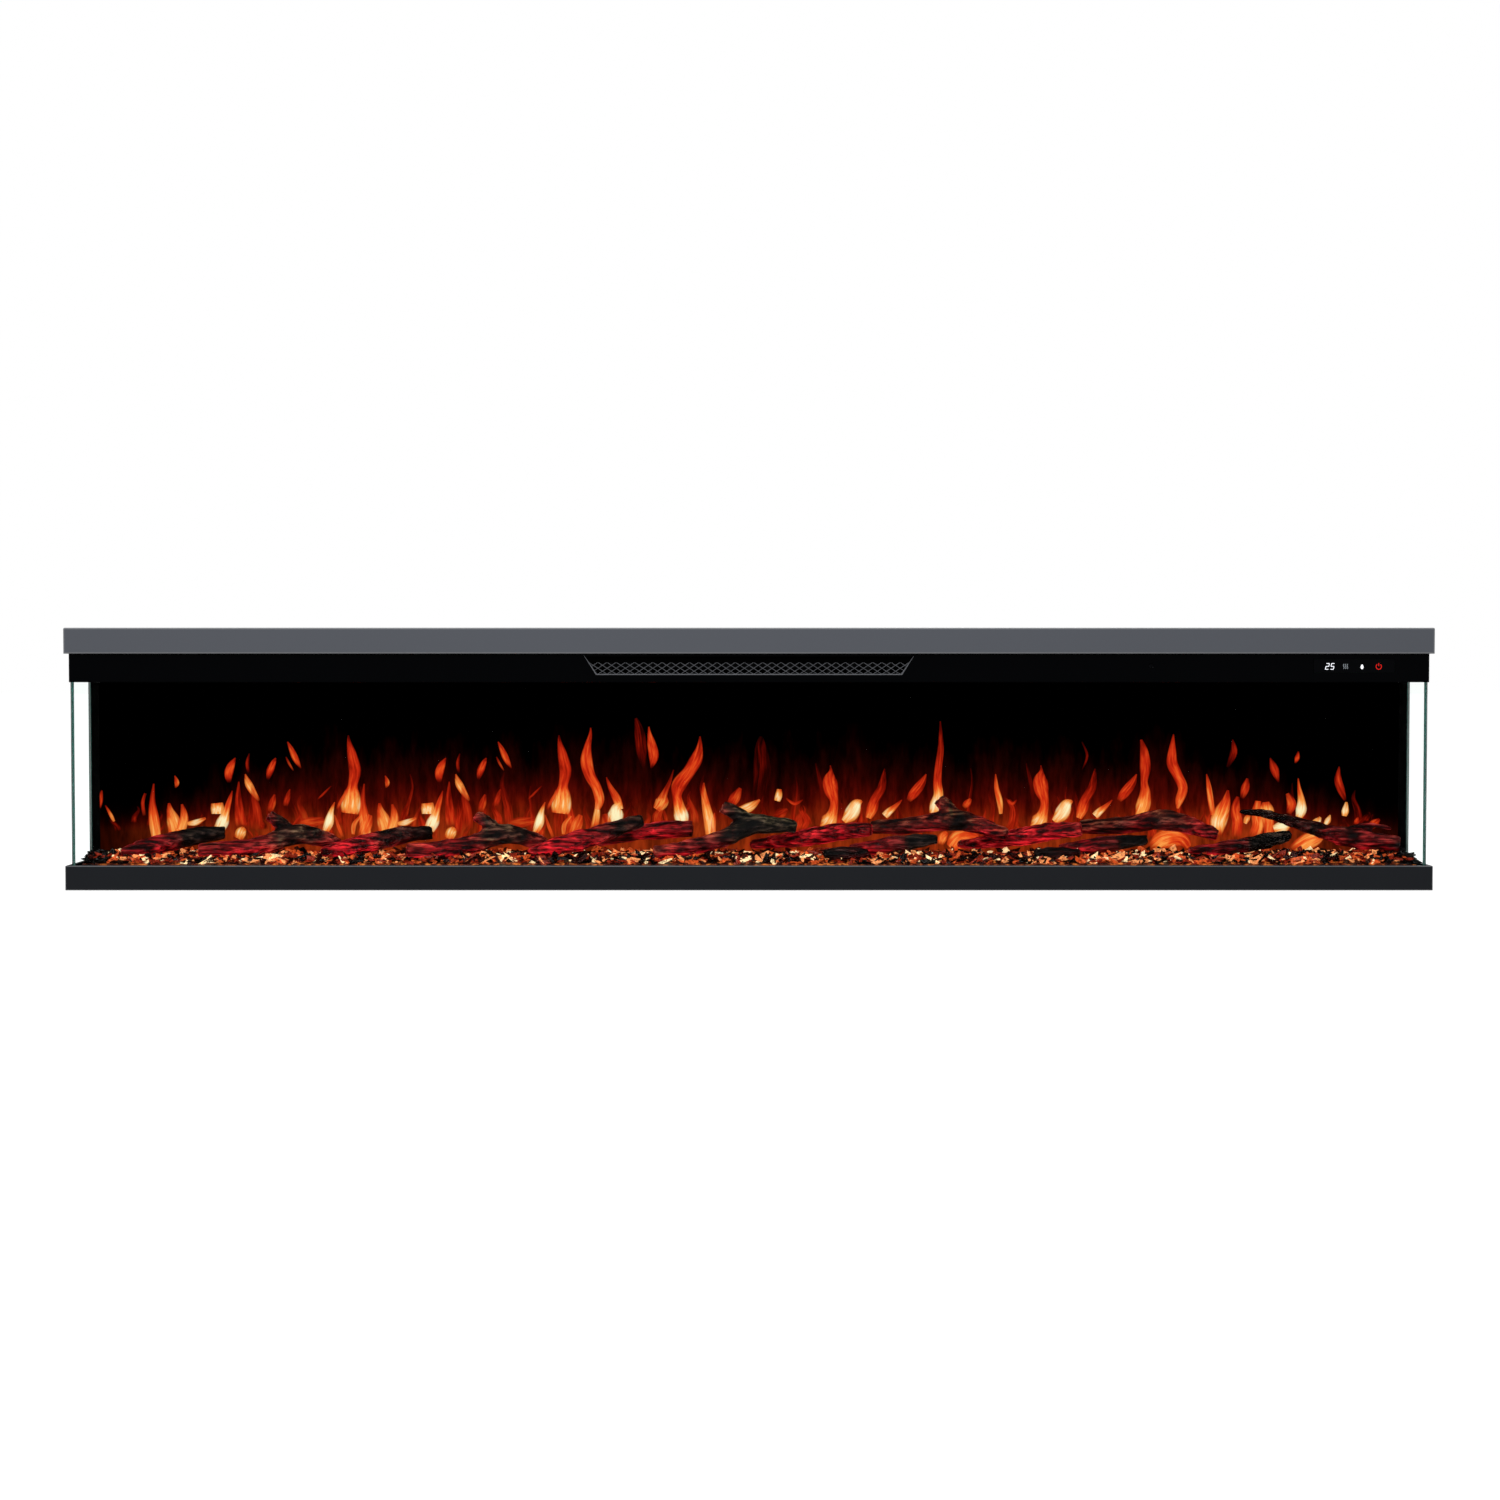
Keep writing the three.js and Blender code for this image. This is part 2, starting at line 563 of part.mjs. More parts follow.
// ---- Fan heater behind the outlet: duct, crossflow wheel, motor, bearing, heating element, cut-out ----
const FAN = { y: -20, z: FLANGE_Z - 1, radius: 30, half: 282, shaft: 4, blades: 12 };
const DUCT = { half: 290, z0: FASCIA_Z + 8, z1: FLANGE_Z, y0: MESH.y1 + 5, scroll: 40, end: 2 };
{
  const scroll = [];
  const inner = [];
  const steps = 8;
  for (let i = 0; i <= steps; i += 1) {
    const angle = THREE.MathUtils.degToRad(-90 + (150 * i) / steps);
    const grow = 1 + i / (steps * 8);
    const reach = DUCT.scroll * grow;
    scroll.push([FAN.y + (reach + SHEET) * Math.cos(angle), FAN.z + (reach + SHEET) * Math.sin(angle)]);
    inner.unshift([FAN.y + reach * Math.cos(angle), FAN.z + reach * Math.sin(angle)]);
  }
  const floor = [[DUCT.y0, FAN.z - DUCT.scroll - SHEET]];
  const roof = [[DUCT.y0, FAN.z - DUCT.scroll]];
  const back = prismX([...floor, ...scroll, ...inner, ...roof], -DUCT.half, DUCT.half);
  const top = wideBlock(DUCT.half, [DUCT.y0, DUCT.z1], [FAN.y - FAN.radius - 3, DUCT.z1 + SHEET]);
  const pieces = [back, top];
  for (const side of [-1, 1]) {
    const ends = [side * DUCT.half, side * (DUCT.half + DUCT.end)].sort((a, b) => a - b);
    const plate = block([ends[0] - 0.01, DUCT.y0, DUCT.z0], [ends[1] + 0.01, FAN.y + 45, HEIGHT - 6]);
    pieces.push(plate.subtract(rodX(FAN.y, FAN.z, 10, ends[0] - 5, ends[1] + 5)));
  }
  add("blower_duct", joined(pieces), galvanised);
}
{
  const pieces = [rodX(FAN.y, FAN.z, FAN.shaft, -DUCT.half - 8, DUCT.half + 16, 12)];
  for (const x of [-FAN.half, -FAN.half / 3, FAN.half / 3, FAN.half - 2]) {
    pieces.push(rodX(FAN.y, FAN.z, FAN.radius, x, x + 2, 24));
  }
  for (let i = 0; i < FAN.blades; i += 1) {
    const blade = new THREE.BoxGeometry(2 * FAN.half - 2, 9, 1);
    blade.rotateX(0.5).translate(0, FAN.radius - 5.5, 0);
    blade.rotateX((i * 2 * Math.PI) / FAN.blades).translate(0, FAN.y, FAN.z);
    pieces.push(solid(blade));
  }
  add("blower_wheel", joined(pieces), blackPlastic);
}
{
  const x0 = DUCT.half + DUCT.end + GAP;
  const can = rodX(FAN.y, FAN.z, 25, x0 + 2, x0 + 42, 20);
  const flange = block([x0, FAN.y - 32, FAN.z - 12], [x0 + 3, FAN.y + 32, FAN.z + 12]);
  add("blower_motor", can.add(flange).subtract(rodX(FAN.y, FAN.z, 4.6, x0 - 5, x0 + 18)), galvanised);
  const ring = rodX(FAN.y, FAN.z, 9.5, -DUCT.half - 5, -DUCT.half + 3);
  add("blower_bush", ring.subtract(rodX(FAN.y, FAN.z, 4.4, -DUCT.half - 9, -DUCT.half + 9)), whiteNylon);
}
{
  const half = 262;
  const z0 = FAN.z - DUCT.scroll + GAP;
  const z1 = DUCT.z1 - GAP;
  const pieces = [wideBlock(half, [-88, z0], [-70, z0 + 4]), wideBlock(half, [-88, z1 - 4], [-70, z1])];
  const fins = 15;
  for (let i = 0; i < fins; i += 1) {
    const x = ((2 * i) / (fins - 1) - 1) * (half - 3);
    pieces.push(block([x - 3, -86, z0 + 2], [x + 3, -72, z1 - 2]));
  }
  add("heater_element", joined(pieces), blackAnodised);
}
{
  const cap = new THREE.CylinderGeometry(8, 8, 6, 16);
  cap.rotateX(Math.PI / 2).translate(150, -80, DUCT.z1 + SHEET + GAP + 3);
  const ears = block([136, -84, DUCT.z1 + SHEET + GAP], [164, -76, DUCT.z1 + SHEET + GAP + 1.5]);
  add("thermal_cutout", solid(cap).add(ears), blackPlastic);
}

// ---- Electronics on the panel over the fire ----
const SHELF = CEILING_Z + SHEET + GAP;
{
  const board = block([-900, -60, SHELF + 4], [-720, 40, SHELF + 5.6]);
  const pieces = [board];
  for (const [x, y] of [[-892, -52], [-728, -52], [-892, 32], [-728, 32]]) {
    pieces.push(block([x - 3, y - 3, SHELF], [x + 3, y + 3, SHELF + 5]));
  }
  const parts = [
    [-880, -45, 42, 34, 30], [-825, -45, 20, 15, 16], [-798, -45, 20, 15, 16], [-771, -45, 20, 15, 16],
    [-830, 0, 30, 30, 4], [-780, 5, 12, 12, 20], [-760, 5, 12, 12, 20], [-880, 10, 34, 14, 12],
  ];
  for (const [x, y, width, depth, height] of parts) {
    pieces.push(block([x, y, SHELF + 5], [x + width, y + depth, SHELF + 5 + height]));
  }
  add("control_board", joined(pieces), circuitGreen);
}
{
  const can = block([480, -30, SHELF], [690, 32, SHELF + 36]);
  const ears = block([468, -12, SHELF], [702, 14, SHELF + 2]);
  add("lamp_driver", can.add(ears), galvanised);
}
{
  const board = block(
    [WINDOW.x0 - 8, FASCIA_BACK + 3, WINDOW.z0 - 2],
    [WINDOW.x1 + 8, FASCIA_BACK + 4.6, WINDOW.z1 + 2],
  );
  const socket = block([1100, FASCIA_BACK + 4, WINDOW.z0 + 5], [1120, FASCIA_BACK + 12, WINDOW.z0 + 13]);
  add("touch_board", board.add(socket), circuitGreen);
  add(
    "display_lens",
    block(
      [WINDOW.x0 + GAP, FASCIA_FRONT + 0.1, WINDOW.z0 + GAP],
      [WINDOW.x1 - GAP, FASCIA_BACK + 0.6, WINDOW.z1 - GAP],
    ),
    smokedAcrylic,
  );
  const eye = new THREE.CylinderGeometry(RECEIVER.radius - GAP, RECEIVER.radius - GAP, 5, 16);
  add("receiver_lens", solid(eye.translate(RECEIVER.x, FASCIA_FRONT + 2, RECEIVER.z)), smokedAcrylic);
}

// ---- Mains: a cable gland through the right end panel and the terminal block behind it ----
{
  const body = rodX(GLAND.y, GLAND.z, GLAND.radius, CASE_X - 8, CASE_X + 5);
  const head = rodX(GLAND.y, GLAND.z, 10, CASE_X + GAP, CASE_X + 11);
  const nut = rodX(GLAND.y, GLAND.z, 10, CASE_X - 8, CASE_X - SHEET - GAP, 6);
  const bore = rodX(GLAND.y, GLAND.z, 4, CASE_X - 20, CASE_X + 20);
  add("mains_gland", joined([body, head, nut]).subtract(bore), blackPlastic);
}
{
  const pieces = [block([1224, 60, 140], [1240, 108, 146])];
  for (let i = 0; i < 3; i += 1) {
    pieces.push(block([1225, 63 + i * 15, 145], [1239, 75 + i * 15, 158]));
  }
  add("terminal_block", joined(pieces), whiteNylon);
}

export default part;
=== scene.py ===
# %% [markdown]
# # A linear electric fireplace
# The fireplace is a long, low showcase with glass on three sides. Resin logs lie on a bed of
# glowing chips, a dark screen behind them shows the flames, and a warm air outlet is let into the
# black band above the glass.
#
# The folded steel, the glass and everything that moves come ready from the CAD model, in the same
# frame, so this script adds what CAD leaves out: finishes, bark, embers, flames, the lit display
# and the screws. Everything is in metres, the front looks along -Y, and the floor is at z = 0.

import math
import random

import bmesh
import bpy
from mathutils import Matrix, Vector, noise


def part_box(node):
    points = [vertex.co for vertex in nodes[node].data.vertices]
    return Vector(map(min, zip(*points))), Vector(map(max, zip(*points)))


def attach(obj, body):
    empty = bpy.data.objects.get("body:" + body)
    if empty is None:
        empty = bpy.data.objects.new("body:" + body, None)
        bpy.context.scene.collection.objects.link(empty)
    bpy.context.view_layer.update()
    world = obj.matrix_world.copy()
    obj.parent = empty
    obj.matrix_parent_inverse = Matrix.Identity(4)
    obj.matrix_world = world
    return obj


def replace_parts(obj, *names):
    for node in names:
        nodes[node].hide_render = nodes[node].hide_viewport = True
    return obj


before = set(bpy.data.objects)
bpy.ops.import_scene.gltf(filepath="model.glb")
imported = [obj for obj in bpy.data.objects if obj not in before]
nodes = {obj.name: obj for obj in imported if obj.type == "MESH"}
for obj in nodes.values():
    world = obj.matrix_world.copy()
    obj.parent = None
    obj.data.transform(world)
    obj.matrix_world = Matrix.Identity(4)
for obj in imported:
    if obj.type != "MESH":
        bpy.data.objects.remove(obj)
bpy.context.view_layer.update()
MM = 0.001

# %% [markdown]
# Most of what follows hangs on a few planes of the CAD model: the front of the flame screen, the
# top of the ember bed, the front glass and the back of the case. They are read from the nodes'
# boxes, so a change in CAD moves everything that is added here.

# %% Read the main planes
screen_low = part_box("flame_screen")[0]
bed_low, bed_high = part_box("ember_bed")
glass_low, glass_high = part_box("front_glass")
case_low, case_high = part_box("rear_case")
print("screen front y = %.1f mm, bed top z = %.1f mm" % (screen_low.y / MM, bed_high.z / MM))

# %% [markdown]
# ## Camera
# The camera is almost five metres away and a little below the height of the top, with a long
# lens, so that the ends show only as slivers. It comes first, because the flames further down are
# laid out as they look from here.

# %% Camera
VIEW_DISTANCE = 4.7725  # from the front glass
VIEW_HEIGHT = 0.4227  # above the floor
VIEW_SHIFT = 0.0018  # to the right of the middle
VIEW_TILT = math.radians(1.944)  # down from level
HALF_WIDTH_SEEN = 1.3925  # half the width of the view at the front glass
camera_data = bpy.data.cameras.new("camera")
camera_data.sensor_fit = "HORIZONTAL"
camera_data.angle = 2 * math.atan(HALF_WIDTH_SEEN / VIEW_DISTANCE)
camera_data.clip_end = 100
camera = bpy.data.objects.new("camera", camera_data)
camera.location = (VIEW_SHIFT, glass_low.y - VIEW_DISTANCE, VIEW_HEIGHT)
camera.rotation_euler = (math.pi / 2 - VIEW_TILT, 0, 0)
bpy.context.scene.collection.objects.link(camera)
bpy.context.scene.camera = camera
bpy.context.scene.view_settings.view_transform = "Standard"
print("camera angle: %.1f degrees" % math.degrees(camera_data.angle))

# %% [markdown]
# ## Helpers
# A few small functions carry the materials. One turns an sRGB hex colour to the linear values
# that Blender shades with. One starts a material from its shader's plain values. One adds a node
# with its settings and its links, so a node tree reads as a list of steps. The last gives the
# noise that most finishes share, sized in millimetres.


# %% Material helpers
def linear(hex_colour):
    channels = [int(hex_colour[i : i + 2], 16) / 255 for i in (1, 3, 5)]
    return [c / 12.92 if c <= 0.04045 else ((c + 0.055) / 1.055) ** 2.4 for c in channels] + [1]


def start_material(name, **values):
    material = bpy.data.materials.new(name)
    material.use_nodes = True
    shader = material.node_tree.nodes["Principled BSDF"]
    for key, value in values.items():
        wanted = key.replace("_", " ")
        socket = next(s for s in shader.inputs if s.name.lower() == wanted)
        socket.default_value = linear(value) if isinstance(value, str) else value
    return material, shader


def add_node(material, kind, settings=None, **links):
    """Adds a node. settings are its own options, a socket's value by name, or a ramp's stops of
    (position, hex colour). links join its sockets, by name or as _0 and _1, to outputs."""
    node = material.node_tree.nodes.new("ShaderNode" + kind)
    for key, value in (settings or {}).items():
        if key == "stops":
            elements = node.color_ramp.elements
            while len(elements) < len(value):
                elements.new(0.5)
            for element, (position, colour) in zip(elements, value):
                element.position = position
                element.color = linear(colour)
        elif hasattr(node, key):
            setattr(node, key, value)
        else:
            node.inputs[key].default_value = linear(value) if isinstance(value, str) else value
    for key, output in links.items():
        socket = node.inputs[int(key[1:])] if key[0] == "_" else node.inputs[key.replace("_", " ")]
        material.node_tree.links.new(output, socket)
    return node


def link(material, output, socket):
    material.node_tree.links.new(output, socket)


def speckle(material, size_mm, detail=2):
    """Noise in real millimetres on the object's own coordinates."""
    place = add_node(material, "TexCoord").outputs["Object"]
    grain = {"Scale": 1 / (size_mm * MM), "Detail": detail, "Roughness": 0.6}
    return add_node(material, "TexNoise", grain, Vector=place).outputs["Fac"]


# %% [markdown]
# ## Powder-coated steel
# The case is folded from sheet steel and powder coated: a dry powder is baked to a skin with a
# faint orange peel. The top cover is painted a mid grey, lighter than the base's charcoal though
# both are one paint: painted light from above. The rest is black: close to gloss on the band above
# the glass, satin on the back, and a dead matt stove paint round the fire, so that nothing mirrors
# the flames. Fine noise a couple of millimetres across gives the peel, and a broader one varies the
# gloss a little, as a baked coat does.


# %% Powder coats
NOISE_SPAN = {"From Min": 0.3, "From Max": 0.7}  # nearly all of a noise lies between these


def powder_coat(name, colour, roughness, shine=0.45, peel_height=0.012, metallic=0.0):
    """A baked coat: the peel is 2.2 mm across, and the gloss wanders over some 60 mm."""
    material, shader = start_material(
        name, base_color=colour, roughness=roughness, metallic=metallic, specular_ior_level=shine
    )
    peel = {"Distance": peel_height * MM, "Strength": 1.0}
    bump = add_node(material, "Bump", peel, Height=speckle(material, 2.2))
    link(material, bump.outputs["Normal"], shader.inputs["Normal"])
    gloss = {**NOISE_SPAN, "To Min": roughness - 0.03, "To Max": roughness + 0.05}
    wander = add_node(material, "MapRange", gloss, Value=speckle(material, 60))
    link(material, wander.outputs["Result"], shader.inputs["Roughness"])
    return material


# The cover's grey is the base's paint made lighter: painted light from above.
lit_grey_coat = powder_coat("powder_coat_painted_lit_grey", "#787c85", 0.38)
charcoal_coat = powder_coat("charcoal_powder_coat", "#2a2d33", 0.42)
black_coat = powder_coat("satin_black_powder_coat", "#0b0c0e", 0.4)
gloss_coat = powder_coat("gloss_black_powder_coat", "#020306", 0.22, shine=0.14, peel_height=0.004)
matt_coat = powder_coat("matt_black_stove_paint", "#020202", 0.7, shine=0.03)
print("coats:", [m.name for m in (lit_grey_coat, charcoal_coat, black_coat, gloss_coat, matt_coat)])

# %% [markdown]
# ## Bright metals, plastics and boards
# Behind the screen and over the glass are zinc-plated brackets, motors, a nylon bush or two and
# the electronics. They only show through a slot or from behind, but each gets its own finish:
# plated steel with a spangle, mirror steel for the flame plate, moulded nylon, and a circuit
# board's solder mask.


# %% Inner finishes
def plated_steel(name, colour, roughness, spangle_mm):
    material, shader = start_material(name, base_color=colour, roughness=roughness, metallic=1.0)
    place = add_node(material, "TexCoord").outputs["Object"]
    cells = add_node(material, "TexVoronoi", {"Scale": 1 / (spangle_mm * MM)}, Vector=place)
    gloss = {**NOISE_SPAN, "To Min": roughness - 0.06, "To Max": roughness + 0.1}
    wander = add_node(material, "MapRange", gloss, Value=cells.outputs["Distance"])
    link(material, wander.outputs["Result"], shader.inputs["Roughness"])
    return material


def moulded(name, colour, roughness, grain_mm=0.8, grain_height=0.02):
    material, shader = start_material(name, base_color=colour, roughness=roughness)
    grain = {"Distance": grain_height * MM, "Strength": 1.0}
    bump = add_node(material, "Bump", grain, Height=speckle(material, grain_mm))
    link(material, bump.outputs["Normal"], shader.inputs["Normal"])
    return material


galvanised = plated_steel("zinc_plated_steel", "#a4a9ac", 0.38, 9)
mirror_steel = plated_steel("polished_stainless_steel", "#c9ccce", 0.12, 30)
screw_steel = plated_steel("black_zinc_screws", "#3c3f43", 0.35, 4)
nylon = moulded("moulded_nylon", "#e4e1d8", 0.5)
black_plastic = moulded("moulded_black_abs", "#141517", 0.45)
solder_mask = moulded("green_solder_mask", "#14502c", 0.35, 3, 0.05)
white_mask = moulded("white_solder_mask", "#e6e6e2", 0.4)
heater_black = moulded("black_anodised_aluminium", "#1c1d1f", 0.55)
mesh_coat = powder_coat("grey_painted_mesh", "#8c8e94", 0.4, metallic=0.3)
print("metals:", [m.name for m in (galvanised, mirror_steel, screw_steel, mesh_coat)])
print("plastics:", [m.name for m in (nylon, black_plastic)])

# %% [markdown]
# ## Glass
# Toughened glass is colourless face on, and green along its edges, where you look through a long
# way of it. A pane is a closed solid, so the edge faces can have a material slot of their own.
# The lamps have to shine through the panes: for shadow rays the glass is a clear pass-through,
# because refraction alone would leave the inside dark.


# %% Glass
PANE_IOR = 1.003  # bare glass has 1.5, but the panes' anti-glare coat takes the mirror image away


def clear_pane():
    material, shader = start_material(
        "toughened_clear_glass", base_color="#fdfffe", roughness=0.0, ior=PANE_IOR,
        transmission_weight=1.0,
    )
    through = add_node(material, "BsdfTransparent", {"Color": "#f6fcfa"}).outputs["BSDF"]
    shadow = add_node(material, "LightPath").outputs["Is Shadow Ray"]
    mixed = add_node(material, "MixShader", {}, Fac=shadow, _1=shader.outputs["BSDF"], _2=through)
    output = material.node_tree.nodes["Material Output"]
    link(material, mixed.outputs["Shader"], output.inputs["Surface"])
    return material


glass = clear_pane()
glass_edge, _ = start_material("green_glass_edge", base_color="#2f5f57", roughness=0.12)

# %% [markdown]
# Each CAD node comes with a plain stand-in material. The table below gives every node its real
# finish, and the panes get two: clear glass on their faces and green on their edges. The nodes
# that are missing from it, such as the logs and the screen, get their finishes further down,
# where those are made.

# %% Put the finishes on the CAD nodes
FINISHES = {
    lit_grey_coat: ["top_cover"],
    charcoal_coat: ["base_tray"],
    gloss_coat: ["upper_fascia"],
    black_coat: ["rear_case"],
    matt_coat: [
        "ceiling_panel", "left_rear_post", "right_rear_post", "blower_duct", "ember_tray",
        "front_glass_channel", "left_glass_channel", "right_glass_channel",
    ],
    galvanised: [
        "rotor_motor_left", "rotor_motor_right", "motor_bracket_left", "motor_bracket_right",
        "rotor_centre_block", "blower_motor", "lamp_driver",
    ],
    mirror_steel: ["flame_stencil", "flame_rotor_left", "flame_rotor_right"],
    nylon: ["rotor_bush_left", "rotor_bush_right", "blower_bush", "terminal_block"],
    black_plastic: ["blower_wheel", "thermal_cutout", "mains_gland"],
    heater_black: ["heater_element"],
    mesh_coat: ["outlet_grille", "outlet_bezel"],
    solder_mask: ["control_board", "touch_board"],
    white_mask: ["ember_lamp_strip", "flame_lamp_strip"],
}
THIN_AXIS = {"front_glass": 1, "left_side_glass": 0, "right_side_glass": 0}  # x is 0 and y is 1


def refinish(name, *materials):
    """Swaps a CAD node's materials for its real finishes, and returns its mesh."""
    mesh = nodes[name].data
    mesh.materials.clear()
    for material in materials:
        mesh.materials.append(material)
    return mesh


for material, names in FINISHES.items():
    for name in names:
        refinish(name, material)
for name, thin in THIN_AXIS.items():
    for face in refinish(name, glass, glass_edge).polygons:
        if abs(face.normal[thin]) < 0.5:
            face.material_index = 1
print("finished nodes:", sum(len(names) for names in FINISHES.values()) + len(THIN_AXIS))


# %% [markdown]
# ## Making and placing pieces
# A piece is built in a bmesh at its final place, so its object stays at the origin, as the CAD
# nodes' objects do. One function turns the bmesh into an object, gives it a finish and lets it
# ride on a body. Another lays a straight block between two places, because the outlet's mesh and
# the display's marks are both made of such bars.


# %% Piece helpers
def finish_piece(name, mesh_data, material, body="case", smooth=False):
    mesh = bpy.data.meshes.new(name)
    mesh_data.to_mesh(mesh)
    mesh_data.free()
    piece = bpy.data.objects.new(name, mesh)
    bpy.context.scene.collection.objects.link(piece)
    for one in material if isinstance(material, list) else [material]:
        mesh.materials.append(one)
    if smooth:
        mesh.shade_smooth()
    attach(piece, body)
    return piece


def bar(mesh_data, start, end, y, width, depth):
    """A straight block from one (x, z) to another, centred on the depth y."""
    run, rise = end[0] - start[0], end[1] - start[1]
    made = bmesh.ops.create_cube(mesh_data, size=1.0)["verts"]
    bmesh.ops.scale(mesh_data, verts=made, vec=(math.hypot(run, rise), depth, width))
    turn = Matrix.Rotation(-math.atan2(rise, run), 4, "Y")
    middle = Matrix.Translation(((start[0] + end[0]) / 2, y, (start[1] + end[1]) / 2))
    bmesh.ops.transform(mesh_data, matrix=middle @ turn, verts=made)


# %% [markdown]
# ## Folds of the cover, the base and the band
# Folded and coated sheet has no knife edges: each fold has a radius, and it is the fold that
# catches the light. The cover and the base are copied from CAD and their outer folds are bevelled
# in the copy, which stands for the node. The new faces of each fold take a lighter coat of their
# own: a painted highlight along the fold.


# %% Round the outer folds
TOUCHING = 0.1 * MM  # closer than this, two places on the sheet count as one


def merged_copy(name):
    mesh_data = bmesh.new()
    mesh_data.from_mesh(nodes[name].data)
    bmesh.ops.remove_doubles(mesh_data, verts=mesh_data.verts, dist=1e-5)
    flat = math.radians(1)
    bmesh.ops.dissolve_limit(mesh_data, angle_limit=flat, verts=mesh_data.verts, edges=mesh_data.edges)
    return mesh_data


def outer_fold(edge, low, high):
    """True for an edge on the top outline of the box, front and ends, or at a front corner."""
    ends = [v.co for v in edge.verts]
    at_top = all(abs(p.z - high.z) < TOUCHING for p in ends)
    at_front = all(abs(p.y - low.y) < TOUCHING for p in ends)
    at_side = all(abs(abs(p.x) - high.x) < TOUCHING for p in ends)
    return (at_top and (at_front or at_side)) or (at_front and at_side)


def folded_shell(name, radius, coat, fold_highlight_coat):
    low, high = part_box(name)
    shell = merged_copy(name)
    folds = [e for e in shell.edges if outer_fold(e, low, high)]
    made = bmesh.ops.bevel(
        shell, geom=folds, offset=radius, offset_type="OFFSET", affect="EDGES", segments=4,
        profile=0.5, material=-1,
    )
    # The rounded faces take the lighter coat, a painted highlight.
    for face in made["faces"]:
        face.material_index = 1
    piece = finish_piece(name + "_shell", shell, [coat, fold_highlight_coat])
    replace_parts(piece, name)
    print(name, "folds rounded:", len(folds))
    return piece


COVER_FOLD = 2.6 * MM
BASE_FOLD = 1.8 * MM
# Lighter coats for the rounded folds: painted highlights along the edges.
grey_fold_highlight = powder_coat("grey_painted_highlight_at_fold", "#a6a8ac", 0.3)
charcoal_fold_highlight = powder_coat("charcoal_painted_highlight_at_fold", "#85878b", 0.3)
folded_shell("top_cover", COVER_FOLD, lit_grey_coat, grey_fold_highlight)
folded_shell("base_tray", BASE_FOLD, charcoal_coat, charcoal_fold_highlight)

# %% [markdown]
# The black band and the outlet's bezel only need a hint of a radius, so a modifier on the CAD
# node does it: Weld joins the loose triangles, and Bevel then rounds the sharp folds.

# %% Soften the band and the bezel
for name, radius in (("upper_fascia", 0.9 * MM), ("outlet_bezel", 0.3 * MM)):
    weld = nodes[name].modifiers.new("join", "WELD")
    weld.merge_threshold = 1e-5
    fold = nodes[name].modifiers.new("fold", "BEVEL")
    fold.width = radius
    fold.segments = 2
    fold.limit_method = "ANGLE"
    fold.angle_limit = math.radians(50)
    print("%s: folds of %.1f mm" % (name, radius / MM))

# %% [markdown]
# ## Outlet mesh
# The mesh in the warm air outlet is expanded steel: strands about a millimetre wide that cross at
# a slant and leave diamond holes. The CAD node is a punched sheet whose strands widen at each
# crossing, so a lattice of flat bars on the same crossings stands for it. A matt black sheet over
# its upper third is painted shade: the shade under the top cover.

# %% Lattice and painted shade sheet
mesh_low, mesh_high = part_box("outlet_grille")
mesh_tall = mesh_high.z - mesh_low.z
HOLE_PITCH = 17 * MM
HOLE_ROWS = 3
STRAND_WIDTH, STRAND_DEPTH = 0.95 * MM, 0.4 * MM
SHADE_SHEET_SHARE = 0.34  # of the mesh's height
lattice = bmesh.new()


def strand(x, lean, y):
    """A wire that rises from the foot of the mesh at x and is cut off at the mesh's two ends."""
    run = lean * HOLE_ROWS * HOLE_PITCH
    cuts = sorted(min(1.0, max(0.0, (end - x) / run)) for end in (mesh_low.x, mesh_high.x))
    if cuts[1] - cuts[0] > 0.02:
        start, end = [(x + run * cut, mesh_low.z + mesh_tall * cut) for cut in cuts]
        bar(lattice, start, end, y, STRAND_WIDTH, STRAND_DEPTH)


across = int((mesh_high.x - mesh_low.x) / 2 / HOLE_PITCH) + HOLE_ROWS
for column in range(-across, across + 1):
    for lean, layer in ((1, 0.55), (-1, 0.9)):
        strand((column + 0.5) * HOLE_PITCH, lean, mesh_low.y + layer * MM)
# A matt black sheet over the upper third: painted shade under the cover.
shade_sheet = bmesh.ops.create_cube(lattice, size=1.0)["verts"]
shade_sheet_tall = mesh_tall * SHADE_SHEET_SHARE
shade_sheet_place = (0, mesh_low.y + 0.15 * MM, mesh_high.z - shade_sheet_tall / 2)
bmesh.ops.scale(lattice, verts=shade_sheet, vec=(mesh_high.x - mesh_low.x, 0.25 * MM, shade_sheet_tall))
bmesh.ops.translate(lattice, verts=shade_sheet, vec=shade_sheet_place)
for face in {f for v in shade_sheet for f in v.link_faces}:
    face.material_index = 1
print("bars in the mesh:", len(lattice.verts) // 8)
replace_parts(finish_piece("outlet_lattice", lattice, [mesh_coat, matt_coat]), "outlet_grille")

# %% [markdown]
# The bezel round the mesh is grey like the mesh, except for its upper limb, which lies in the
# cover's shade and is coated black like the band as painted shade. It is one solid in CAD, so a
# second material slot takes the faces that lie within the limb's height.

# %% The bezel's upper limb is painted black as shade
BEZEL_SHADED_LIMB = 4 * MM
bezel_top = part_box("outlet_bezel")[1].z
bezel_faces = refinish("outlet_bezel", mesh_coat, gloss_coat).polygons
# The faces of the upper limb take the black coat: painted shade.
for face in bezel_faces:
    if face.center.z > bezel_top - BEZEL_SHADED_LIMB:
        face.material_index = 1
print("black faces of the bezel:", sum(face.material_index for face in bezel_faces))
